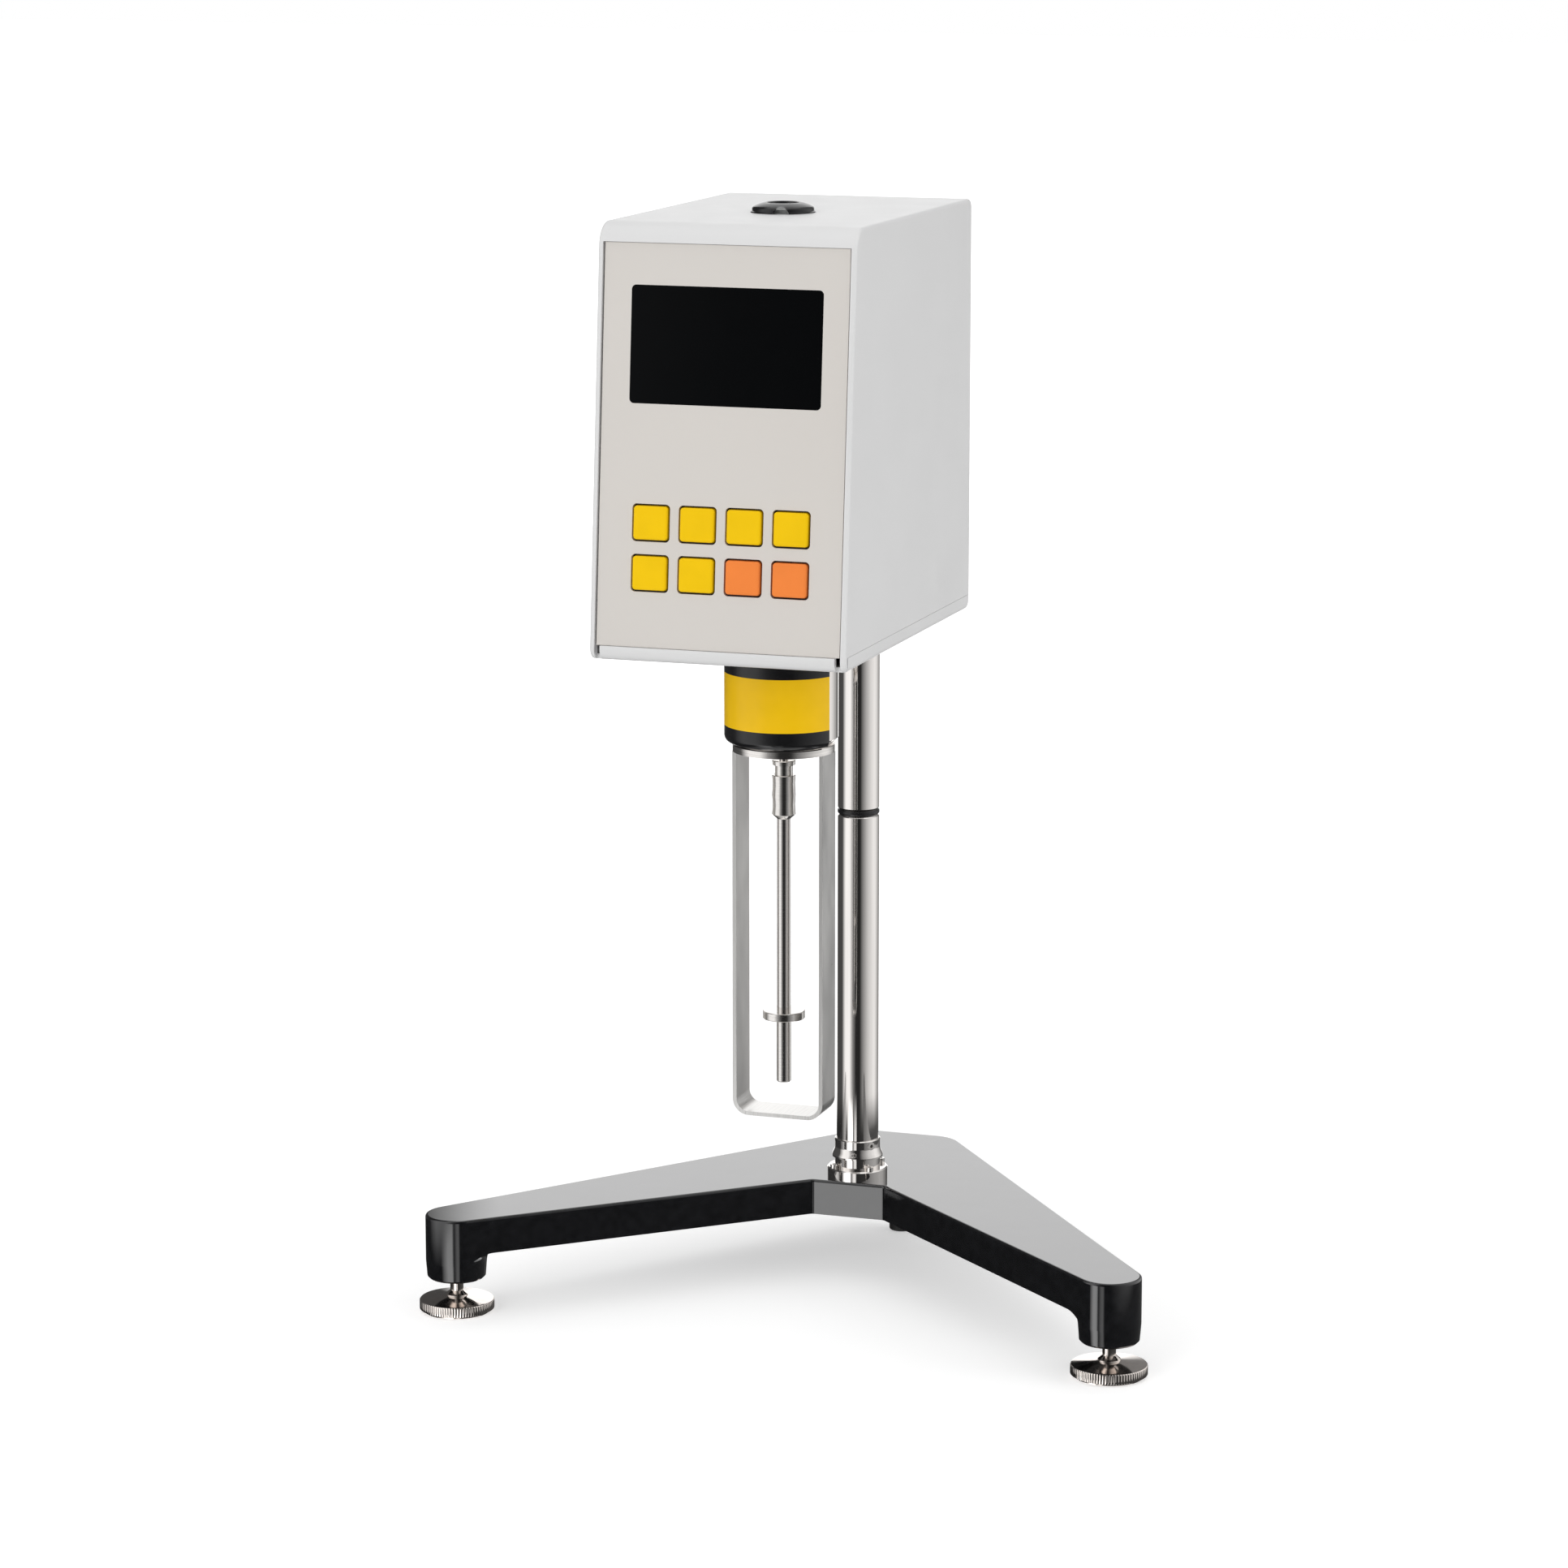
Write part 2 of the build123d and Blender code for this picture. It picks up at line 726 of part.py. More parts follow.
# Cover: top, sides and front lip in one shell, open below, behind and in front
with BuildPart() as head_cover:
    extrude(head_profile.sketch, amount=head_width / 2, both=True)
    fillet(head_cover.faces().filter_by(Axis.X).edges(), cover_edge_rounding)
    with BuildSketch(Plane.YZ):
        offset(head_profile.sketch_local, amount=-cover_wall)
    extrude(amount=cover_inside, both=True, mode=Mode.SUBTRACT)
    with BuildSketch(front):
        with Locations((0, panel_top / 2)):
            Rectangle(2 * cover_inside, panel_top)
    extrude(amount=2 * cover_wall, both=True, mode=Mode.SUBTRACT)
    with BuildSketch(Plane.YZ):
        with BuildLine():
            Polyline(
                (head_front_y - cover_wall, head_bottom - cover_wall),
                (head_front_y - cover_wall, tray_rim_z),
                (panel_inside_y, tray_rim_z),
                (panel_inside_y, head_top - cover_wall),
                (head_rear_y + cover_wall, head_top - cover_wall),
                (head_rear_y + cover_wall, head_bottom - cover_wall),
                close=True,
            )
        make_face()
    extrude(amount=cover_inside, both=True, mode=Mode.SUBTRACT)
    with BuildSketch(Plane.YZ):
        with Locations((head_front_y + cover_strip_depth, head_bottom - cover_wall)):
            Rectangle(
                head_rear_y - head_front_y,
                tray_rim_height + cover_wall + sheet_gap,
                align=(Align.MIN, Align.MIN),
            )
    extrude(amount=head_width / 2, both=True, mode=Mode.SUBTRACT)
    with Locations((level_x, level_y, head_top)):
        Cylinder(level_eye_radius + sheet_gap, 2 * cover_wall + 1, mode=Mode.SUBTRACT)
keep("head_cover", head_cover.part)

# Tray: floor, low rims and a front lip between the strips of the cover
with BuildPart() as bottom_tray:
    extrude(head_profile.sketch, amount=head_width / 2, both=True)
    split(bisect_by=Plane.XY.offset(tray_rim_z), keep=Keep.BOTTOM)
    side_edges = bottom_tray.faces().filter_by(Axis.X).edges().group_by(Axis.Z)[0]
    fillet(side_edges, tray_edge_rounding)
    with BuildSketch(Plane.XY.offset(tray_floor_z)):
        with Locations((0, head_rear_y - tray_wall)):
            Rectangle(
                head_width - 2 * tray_wall,
                head_rear_y - head_front_y - 2 * tray_wall - 1,
                align=(Align.CENTER, Align.MAX),
            )
    extrude(amount=tray_rim_height, mode=Mode.SUBTRACT)
    with BuildSketch(Plane.XY.offset(head_bottom)):
        with Locations((cover_inside - sheet_gap, head_front_y), (-cover_inside + sheet_gap, head_front_y)):
            Rectangle(
                2 * (cover_wall + sheet_gap),
                2 * (cover_strip_depth + tray_front_gap),
            )
    extrude(amount=tray_rim_height, mode=Mode.SUBTRACT)
    with Locations((0, spindle_y, tray_floor_z)):
        Hole(housing_radius + slip_fit, 2 * tray_wall)
keep("bottom_tray", bottom_tray.part)

# Front panel: sheet with folded sides, a display window and eight key openings
with BuildPart() as front_panel:
    with BuildSketch(front.offset(-panel_back)):
        with Locations((0, (panel_bottom + panel_top - sheet_gap) / 2)):
            Rectangle(panel_width, panel_top - sheet_gap - panel_bottom)
        with Locations((display_x, display_s)):
            RectangleRounded(display_width, display_height, display_rounding, mode=Mode.SUBTRACT)
        with Locations(*key_places):
            RectangleRounded(
                key_width + 2 * key_outline,
                key_height + 2 * key_outline,
                key_rounding + key_outline / 2,
                mode=Mode.SUBTRACT,
            )
    extrude(amount=panel_thickness)
    with BuildSketch(front.offset(-panel_back)):
        for side in (1, -1):
            edge_x = side * (panel_width - panel_flange_thickness) / 2
            with Locations((edge_x, (panel_bottom + panel_top - sheet_gap) / 2)):
                Rectangle(panel_flange_thickness, panel_top - sheet_gap - panel_bottom)
    extrude(amount=-panel_flange_depth)
keep("front_panel", front_panel.part)

with BuildPart() as display_lens:
    with BuildSketch(front.offset(-panel_back)):
        with Locations((display_x, display_s)):
            RectangleRounded(
                display_width - 2 * slip_fit,
                display_height - 2 * slip_fit,
                display_rounding,
            )
    extrude(amount=lens_thickness)
keep("display_lens", display_lens.part)

with BuildPart() as display_module:
    with BuildSketch(front.offset(-panel_back)):
        with Locations((display_x, display_s)):
            Rectangle(display_width + 2 * module_border, display_height + 2 * module_border)
    extrude(amount=-module_depth)
    chamfer(display_module.edges().filter_by(GeomType.LINE).group_by(Axis.Y)[-1], 0.6)
keep("display_module", display_module.part)

# Key frame: black plate behind the panel with a wall that carries the board
frame_width = 3 * key_pitch_x + key_width + 2 * key_frame_margin
frame_height = key_pitch_s + key_height + 2 * key_frame_margin
with BuildPart() as key_frame:
    with BuildSketch(front.offset(-panel_back)):
        with Locations((key_block_x, key_block_s)):
            Rectangle(frame_width, frame_height)
        with Locations(*key_places):
            RectangleRounded(
                key_width + 2 * body_gap,
                key_height + 2 * body_gap,
                key_rounding,
                mode=Mode.SUBTRACT,
            )
    extrude(amount=-key_frame_thickness)
    with BuildSketch(front.offset(-panel_back - key_frame_thickness)):
        with Locations((key_block_x, key_block_s)):
            Rectangle(frame_width, frame_height)
            Rectangle(
                frame_width - 2 * key_frame_wall,
                frame_height - 2 * key_frame_wall,
                mode=Mode.SUBTRACT,
            )
    extrude(amount=-(keypad_board_front - panel_back - key_frame_thickness))
keep("key_frame", key_frame.part)

with BuildPart() as keypad_board:
    with BuildSketch(front.offset(-keypad_board_front)):
        with Locations((key_block_x, key_block_s)):
            Rectangle(frame_width, frame_height)
    extrude(amount=-keypad_board_thickness)
    with BuildSketch(front.offset(-keypad_board_front)):
        with Locations(*key_places):
            Circle(switch_dome_radius)
    extrude(amount=switch_dome_height, taper=25)
keep("keypad_board", keypad_board.part)

# Keys: a cap with rounded edges on a flange that the key frame retains
for number, place in enumerate(key_places, start=1):
    with BuildPart() as key:
        with BuildSketch(front.offset(-key_flange_front)):
            with Locations(place):
                RectangleRounded(key_width, key_height, key_rounding)
        extrude(amount=key_flange_front - panel_recess + key_proud)
        fillet(key.faces().sort_by(Axis(front.origin, front.z_dir))[-1].edges(), key_edge)
        with BuildSketch(front.offset(-key_flange_front)):
            with Locations(place):
                RectangleRounded(key_width + 2 * key_flange, key_height + 2 * key_flange, key_rounding)
        extrude(amount=-key_flange_thickness)
    keep(f"key_{number}", key.part)

# Bubble level: a low dome with a round eye, a foot and a half-round notch in front
with BuildPart() as level_bezel:
    with BuildSketch(axial_plane(level_x, level_y)):
        with BuildLine():
            Polyline(
                (level_eye_radius + slip_fit, head_top + level_height - 0.3),
                (level_eye_radius + slip_fit, head_top),
                (level_radius + level_foot, head_top),
                (level_radius + level_foot, head_top + level_foot_height * 0.4),
                (level_radius + 0.2, head_top + level_foot_height),
                (level_radius - 0.2, head_top + level_foot_height + 0.5),
            )
            Spline(
                (level_radius - 0.2, head_top + level_foot_height + 0.5),
                (level_eye_radius + 1.2, head_top + level_height),
                tangents=((-0.5, 1), (-1, 0.05)),
            )
            Polyline(
                (level_eye_radius + 1.2, head_top + level_height),
                (level_eye_radius + slip_fit, head_top + level_height - 0.3),
            )
        make_face()
    revolve(axis=upright(level_x, level_y))
    notch_turn = radians(level_notch_turn)
    with BuildSketch(
        Plane(origin=(level_x, level_y, head_top), z_dir=(sin(notch_turn), -cos(notch_turn), 0))
    ):
        Circle(level_notch_radius)
    extrude(amount=level_radius + 2 * level_foot, mode=Mode.SUBTRACT)
keep("level_bezel", level_bezel.part)

with BuildPart() as level_vial:
    with Locations((level_x, level_y, head_top - cover_wall)):
        Cylinder(
            level_eye_radius,
            level_vial_height + cover_wall,
            align=(Align.CENTER, Align.CENTER, Align.MIN),
        )
    fillet(level_vial.edges().group_by(Axis.Z)[-1], 0.5)
keep("level_vial", level_vial.part)

# Rear panel with openings for the inlet, the rocker, the port and the screws of the clamp
rocker_opening_width = rocker_width + 2 * body_gap
rocker_opening_height = 2 * (rocker_half_height + rocker_swing_room)
rocker_frame_width = rocker_opening_width + 2 * rocker_frame_wall
rocker_frame_height = rocker_opening_height + 2 * rocker_frame_wall
clamp_screw_places = [
    (side * clamp_screw_x, clamp_middle_z + rise * clamp_screw_z_pitch / 2)
    for side in (1, -1)
    for rise in (1, -1)
]
with BuildPart() as rear_panel:
    with BuildSketch(rear.offset(-cover_wall)):
        with BuildLine():
            Polyline(
                (cover_inside - sheet_gap, tray_rim_z + sheet_gap),
                (cover_inside - sheet_gap, head_top - cover_wall - sheet_gap),
                (-cover_inside + sheet_gap, head_top - cover_wall - sheet_gap),
                (-cover_inside + sheet_gap, tray_rim_z + sheet_gap),
                close=True,
            )
        make_face()
        with Locations((connector_x, inlet_z)):
            Rectangle(inlet_width, inlet_height, mode=Mode.SUBTRACT)
        with Locations((connector_x, rocker_z)):
            Rectangle(rocker_frame_width, rocker_frame_height, mode=Mode.SUBTRACT)
        with Locations((-connector_x, port_z)):
            RectangleRounded(port_shell_width, port_shell_height, port_corner, mode=Mode.SUBTRACT)
        with Locations(*clamp_screw_places):
            Circle(clamp_screw_radius + slip_fit, mode=Mode.SUBTRACT)
    extrude(amount=cover_wall)
keep("rear_panel", rear_panel.part)

with BuildPart() as power_inlet:
    with BuildSketch(rear):
        with Locations((connector_x, inlet_z)):
            RectangleRounded(inlet_width + 2 * inlet_lip, inlet_height + 2 * inlet_lip, 2.0)
    extrude(amount=inlet_lip_thickness)
    with BuildSketch(rear):
        with Locations((connector_x, inlet_z)):
            Rectangle(inlet_width - 2 * slip_fit, inlet_height - 2 * slip_fit)
    extrude(amount=-inlet_depth)
    with BuildSketch(rear.offset(inlet_lip_thickness)) as inlet_mouth:
        with Locations((connector_x, inlet_z)):
            Rectangle(inlet_width - 2 * inlet_wall, inlet_height - 2 * inlet_wall)
        chamfer(inlet_mouth.vertices().group_by(Axis.Y)[-1], inlet_chamfer)
    extrude(amount=-(inlet_lip_thickness + inlet_depth - inlet_floor), mode=Mode.SUBTRACT)
    with BuildSketch(rear.offset(-(inlet_depth - inlet_floor))):
        with Locations((connector_x, inlet_z + inlet_pin_shift)):
            Rectangle(inlet_pin_width, inlet_pin_height)
        with Locations(
            (connector_x - inlet_pin_pitch, inlet_z - inlet_pin_shift),
            (connector_x + inlet_pin_pitch, inlet_z - inlet_pin_shift),
        ):
            Rectangle(inlet_pin_width, inlet_pin_height)
    extrude(amount=inlet_depth - inlet_floor - inlet_pin_recess)
keep("power_inlet", power_inlet.part)

# Rocker switch: frame through the rear panel, and a rocker that tilts on a pin in it
rocker_pivot_y = head_rear_y - rocker_pivot_depth
with BuildPart() as switch_frame:
    with BuildSketch(rear):
        with Locations((connector_x, rocker_z)):
            RectangleRounded(
                rocker_frame_width + 2 * rocker_frame_lip,
                rocker_frame_height + 2 * rocker_frame_lip,
                1.0,
            )
    extrude(amount=rocker_frame_thickness)
    with BuildSketch(rear):
        with Locations((connector_x, rocker_z)):
            Rectangle(rocker_frame_width - 2 * slip_fit, rocker_frame_height - 2 * slip_fit)
    extrude(amount=-rocker_frame_depth)
    with BuildSketch(rear.offset(rocker_frame_thickness)):
        with Locations((connector_x, rocker_z)):
            Rectangle(rocker_opening_width, rocker_opening_height)
    extrude(amount=-(rocker_frame_thickness + rocker_frame_depth - rocker_frame_wall), mode=Mode.SUBTRACT)
    with Locations(Location((-connector_x, rocker_pivot_y, rocker_z), (0, 90, 0))):
        Cylinder(rocker_pin_radius, rocker_opening_width + rocker_frame_wall)
keep("switch_frame", switch_frame.part)

tilt = radians(rocker_tilt)
with BuildPart() as power_switch:
    with BuildSketch(
        Plane(
            origin=(-connector_x, rocker_pivot_y, rocker_z),
            x_dir=(0, sin(tilt), cos(tilt)),
            z_dir=(-1, 0, 0),
        )
    ):
        with BuildLine():
            Polyline(
                (-rocker_half_height, -rocker_root + 1.5),
                (-rocker_half_height, rocker_ends),
                (0, rocker_crest),
                (rocker_half_height, rocker_ends),
                (rocker_half_height, -rocker_root + 1.5),
                (rocker_half_height / 3, -rocker_root),
                (-rocker_half_height / 3, -rocker_root),
                close=True,
            )
        make_face()
        Circle(rocker_pin_radius + slip_fit, mode=Mode.SUBTRACT)
    extrude(amount=rocker_width / 2, both=True)
keep("power_switch", power_switch.part)

with BuildPart() as serial_port:
    with BuildSketch(rear):
        with Locations((-connector_x, port_z)):
            RectangleRounded(port_width, port_height, 1.5)
    extrude(amount=port_plate)
    with BuildSketch(rear.offset(port_plate)):
        with Locations((-connector_x, port_z)):
            RectangleRounded(port_shell_width - 2 * slip_fit, port_shell_height - 2 * slip_fit, port_corner)
            RectangleRounded(
                port_shell_width - 2 * port_shell_wall,
                port_shell_height - 2 * port_shell_wall,
                port_corner - port_shell_wall,
                mode=Mode.SUBTRACT,
            )
    extrude(amount=port_shell_length)
    with BuildSketch(rear):
        with Locations((-connector_x, port_z)):
            RectangleRounded(port_shell_width - 2 * slip_fit, port_shell_height - 2 * slip_fit, port_corner)
    extrude(amount=-port_depth)
    with BuildSketch(rear.offset(port_plate)):
        for row_z, pins in ((port_z + port_pin_row, 5), (port_z - port_pin_row, 4)):
            with Locations((-connector_x, row_z)):
                with GridLocations(port_pin_pitch, 1, pins, 1):
                    Circle(port_pin_radius)
    extrude(amount=port_shell_length - port_pin_recess)
keep("serial_port", serial_port.part)

# Chassis: a floor bent up into a mast behind the rear panel, with a gusset on each side
mast_front_y = panel_inside_y - chassis_sheet
with BuildPart() as chassis_frame:
    with BuildSketch(Plane.XY.offset(tray_floor_z)):
        with Locations((0, chassis_front_y)):
            Rectangle(
                2 * chassis_floor_half_width,
                mast_front_y - chassis_front_y + chassis_sheet,
                align=(Align.CENTER, Align.MIN),
            )
    extrude(amount=chassis_sheet)
    with BuildSketch(Plane.XZ.offset(-panel_inside_y)):
        with Locations((0, tray_floor_z)):
            Rectangle(
                2 * chassis_mast_half_width,
                chassis_top - tray_floor_z,
                align=(Align.CENTER, Align.MIN),
            )
    extrude(amount=chassis_sheet)
    for side in (1, -1):
        with BuildSketch(Plane.YZ.offset(side * (chassis_mast_half_width - chassis_sheet / 2))):
            with BuildLine():
                Polyline(
                    (mast_front_y, chassis_floor_z),
                    (mast_front_y - gusset_length, chassis_floor_z),
                    (mast_front_y, chassis_floor_z + gusset_height),
                    close=True,
                )
            make_face()
        extrude(amount=chassis_sheet / 2, both=True)
    with BuildSketch(Plane.XZ.offset(-panel_inside_y)):
        for screw_x, screw_z in clamp_screw_places:
            with Locations((screw_x, screw_z)):
                Circle(clamp_screw_radius + slip_fit)
    extrude(amount=chassis_sheet, mode=Mode.SUBTRACT)
keep("chassis_frame", chassis_frame.part)

# Motor plate on four posts; the same turned posts carry the main board on the mast
board_rear_y = mast_front_y - board_spacer
board_hole_zs = (board_bottom + board_hole_inset, board_bottom + board_height - board_hole_inset)
post_places = [(side * post_x, y) for side in (1, -1) for y in (post_front_y, post_rear_y)]
with BuildPart() as motor_plate:
    with BuildSketch(Plane.XY.offset(motor_plate_z)):
        with Locations((0, (post_front_y + post_rear_y) / 2)):
            RectangleRounded(
                2 * (post_x + motor_plate_margin),
                post_rear_y - post_front_y + 2 * motor_plate_margin,
                4.0,
            )
        with Locations((0, spindle_y)):
            Circle(bearing_radius, mode=Mode.SUBTRACT)
        with Locations((0, motor_y)):
            Circle(motor_spigot_radius + slip_fit, mode=Mode.SUBTRACT)
    extrude(amount=motor_plate_thickness)
keep("motor_plate", motor_plate.part)

with BuildPart() as standoffs:
    with BuildSketch(Plane.XY.offset(tray_floor_z)):
        with Locations(*post_places):
            RegularPolygon(post_radius, 6)
    extrude(amount=motor_plate_z - tray_floor_z)
    with BuildSketch(Plane.XZ.offset(-mast_front_y)):
        for hole_z in board_hole_zs:
            with Locations((board_hole_x, hole_z), (-board_hole_x, hole_z)):
                RegularPolygon(post_radius * 0.8, 6)
    extrude(amount=board_spacer)
keep("standoffs", standoffs.part)

with BuildPart() as main_board:
    with BuildSketch(Plane.XZ.offset(-board_rear_y)):
        with Locations((0, board_bottom)):
            Rectangle(board_width, board_height, align=(Align.CENTER, Align.MIN))
    extrude(amount=board_thickness)
    for chip_x, chip_z, chip_width, chip_height, chip_thickness in chip_sizes:
        with BuildSketch(Plane.XZ.offset(-board_rear_y + board_thickness)):
            with Locations((chip_x, board_bottom + chip_z)):
                Rectangle(chip_width, chip_height)
        extrude(amount=chip_thickness)
keep("main_board", main_board.part)

with BuildPart() as power_supply:
    with BuildSketch(Plane.XY.offset(tray_floor_z)):
        with Locations((supply_x, supply_front_y)):
            RectangleRounded(supply_width, supply_depth, 1.5, align=(Align.CENTER, Align.MIN))
    extrude(amount=supply_height)
    with BuildSketch(Plane.XY.offset(tray_floor_z + supply_height)):
        with Locations((supply_x, supply_front_y + supply_depth / 2)):
            with GridLocations(supply_slot_pitch, 1, 7, 1):
                SlotOverall(supply_depth * 0.6, supply_slot_width, rotation=90)
    extrude(amount=-supply_slot_depth, mode=Mode.SUBTRACT)
keep("power_supply", power_supply.part)


def gear_face(teeth):
    """Spur gear outline in the plane of the sketch, as a root circle with tapered teeth."""
    pitch_radius = gear_module * teeth / 2
    root = pitch_radius - 1.25 * gear_module
    tip = pitch_radius + 0.95 * gear_module
    half_pitch = gear_module * pi / 4
    with BuildSketch() as wheel:
        Circle(root)
        with PolarLocations(0, teeth):
            Polygon(
                (root - 0.4, -half_pitch * 1.45),
                (pitch_radius, -half_pitch * 0.94),
                (tip, -half_pitch * 0.42),
                (tip, half_pitch * 0.42),
                (pitch_radius, half_pitch * 0.94),
                (root - 0.4, half_pitch * 1.45),
                align=None,
            )
    return wheel.sketch


# Drive: motor with its pinion, the toothed drum in its bearing, and the measuring shaft below
with BuildPart() as drive_motor:
    with BuildSketch(axial_plane(0, motor_y)):
        with BuildLine():
            Polyline(
                (motor_shaft_radius + slip_fit, motor_plate_z + 0.4),
                (motor_spigot_radius, motor_plate_z + 0.4),
                (motor_spigot_radius, motor_plate_z + motor_plate_thickness),
                (motor_radius, motor_plate_z + motor_plate_thickness),
                (motor_radius, motor_plate_z + motor_plate_thickness + motor_height - 1.5),
                (motor_radius - 1.5, motor_plate_z + motor_plate_thickness + motor_height),
                (0, motor_plate_z + motor_plate_thickness + motor_height),
                (0, motor_plate_z + motor_plate_thickness + motor_height / 2),
                (motor_shaft_radius + slip_fit, motor_plate_z + motor_plate_thickness + motor_height / 2),
                close=True,
            )
        make_face()
    revolve(axis=upright(0, motor_y))
keep("drive_motor", drive_motor.part)

with BuildPart() as motor_pinion:
    with BuildSketch(Plane(origin=(0, motor_y, gear_z - 0.5), x_dir=(0, 1, 0), z_dir=(0, 0, 1))):
        add(gear_face(pinion_teeth), rotation=180 / pinion_teeth)
    extrude(amount=gear_thickness + 1.0)
    with BuildSketch(Plane.XY.offset(gear_z)):
        with Locations((0, motor_y)):
            Circle(motor_shaft_radius)
    extrude(amount=motor_plate_z + motor_plate_thickness + motor_height / 2 - gear_z - body_gap)
keep("motor_pinion", motor_pinion.part)

with BuildPart() as drive_drum:
    with BuildSketch(Plane(origin=(0, spindle_y, gear_z), x_dir=(0, 1, 0), z_dir=(0, 0, 1))):
        add(gear_face(gear_teeth))
        with PolarLocations(gear_module * gear_teeth * 0.33, 6):
            Circle(gear_module * gear_teeth * 0.09, mode=Mode.SUBTRACT)
    extrude(amount=gear_thickness)
    with BuildSketch(axial_plane(0, spindle_y)):
        with BuildLine():
            Polyline(
                (0, gear_z),
                (gear_hub_radius, gear_z),
                (gear_hub_radius, bearing_z - body_gap),
                (gear_journal_radius, bearing_z - body_gap),
                (gear_journal_radius, bearing_top + body_gap),
                (gear_collar_radius, bearing_top + body_gap),
                (gear_collar_radius, bearing_top + body_gap + gear_collar_thickness),
                (0, bearing_top + body_gap + gear_collar_thickness),
                close=True,
            )
        make_face()
    revolve(axis=upright(0, spindle_y))
    with Locations((0, spindle_y, gear_z)):
        Cylinder(
            shaft_tip_radius + slip_fit,
            shaft_tip_length + 1.0,
            align=(Align.CENTER, Align.CENTER, Align.MIN),
            mode=Mode.SUBTRACT,
        )
keep("drive_drum", drive_drum.part)

with BuildPart() as upper_bearing:
    with BuildSketch(Plane.XY.offset(bearing_z)):
        with Locations((0, spindle_y)):
            Circle(bearing_radius)
            Circle(gear_journal_radius + slip_fit, mode=Mode.SUBTRACT)
    extrude(amount=bearing_height)
keep("upper_bearing", upper_bearing.part)

with BuildPart() as pivot_shaft:
    with BuildSketch(axial_plane(0, spindle_y)):
        with BuildLine():
            Polyline(
                (0, coupling_shaft_z),
                (shaft_radius, coupling_shaft_z),
                (shaft_radius, gear_z - body_gap),
                (shaft_tip_radius, gear_z - body_gap),
                (shaft_tip_radius, shaft_top - 1.0),
                (0, shaft_top),
                close=True,
            )
        make_face()
    revolve(axis=upright(0, spindle_y))
keep("pivot_shaft", pivot_shaft.part)

with BuildPart() as jewel_bearing:
    with BuildSketch(Plane.XY.offset(housing_bottom)):
        with Locations((0, spindle_y)):
            Circle(jewel_radius)
            Circle(shaft_radius + slip_fit, mode=Mode.SUBTRACT)
    extrude(amount=housing_web + 1.0)
keep("jewel_bearing", jewel_bearing.part)

with BuildPart() as deflection_vane:
    with BuildSketch(Plane.XY.offset(vane_z)):
        with Locations((0, spindle_y)):
            Circle(vane_radius)
            Circle(shaft_radius, mode=Mode.SUBTRACT)
            with PolarLocations(vane_radius - 3.5, vane_slots):
                Rectangle(4.0, 1.6, mode=Mode.SUBTRACT)
    extrude(amount=vane_thickness)
    with BuildSketch(Plane.XY.offset(vane_z)):
        with Locations((0, spindle_y)):
            Circle(vane_hub_radius)
            Circle(shaft_radius, mode=Mode.SUBTRACT)
    extrude(amount=vane_hub_height)
keep("deflection_vane", deflection_vane.part)

# Optical sensor: a fork around the rim of the vane, on a post from the tray floor
sensor_foot_z = tray_floor_z + housing_flange_thickness
sensor_front_y = spindle_y + vane_radius - sensor_reach / 2
with BuildPart() as optical_sensor:
    with BuildSketch(Plane.YZ):
        with BuildLine():
            Polyline(
                (sensor_front_y + sensor_reach, sensor_foot_z),
                (sensor_front_y + sensor_length, sensor_foot_z),
                (sensor_front_y + sensor_length, vane_z + sensor_lip),
                (sensor_front_y, vane_z + sensor_lip),
                (sensor_front_y, vane_z + vane_thickness + sensor_gap),
                (sensor_front_y + sensor_reach, vane_z + vane_thickness + sensor_gap),
                (sensor_front_y + sensor_reach, vane_z - sensor_gap),
                (sensor_front_y, vane_z - sensor_gap),
                (sensor_front_y, vane_z - sensor_lip + vane_thickness),
                (sensor_front_y + sensor_reach, vane_z - sensor_lip + vane_thickness),
                close=True,
            )
        make_face()
    extrude(amount=sensor_width / 2, both=True)
keep("optical_sensor", optical_sensor.part)

# Torsion spring: a flat spiral from a hub on the shaft to a pin beside the drum
spring_outer = spring_inner_radius + spring_turns * spring_pitch


def spiral_points(shift):
    """Points of the spiral, twelve to a turn, moved outwards by shift."""
    points = []
    for step in range(spring_turns * 12 + 1):
        turn = 2 * pi * step / 12
        radius = spring_inner_radius + spring_pitch * step / 12 + shift
        points.append((radius * cos(turn), radius * sin(turn)))
    return points


with BuildPart() as torsion_spring:
    with BuildSketch(Plane(origin=(0, spindle_y, spring_z), z_dir=(0, 0, 1))):
        with BuildLine():
            Polyline(*spiral_points(0), *reversed(spiral_points(spring_band)), close=True)
        make_face()
    extrude(amount=spring_height)
    with BuildSketch(Plane(origin=(0, spindle_y, spring_z), z_dir=(0, 0, 1))):
        Circle(spring_inner_radius + spring_band)
        Circle(shaft_radius, mode=Mode.SUBTRACT)
    extrude(amount=spring_height)
    with BuildSketch(Plane(origin=(0, spindle_y, spring_z), z_dir=(0, 0, 1))):
        with Locations((spring_outer + spring_band / 2, 0)):
            Circle(1.0)
    extrude(amount=gear_z - body_gap - spring_z)
keep("torsion_spring", torsion_spring.part)

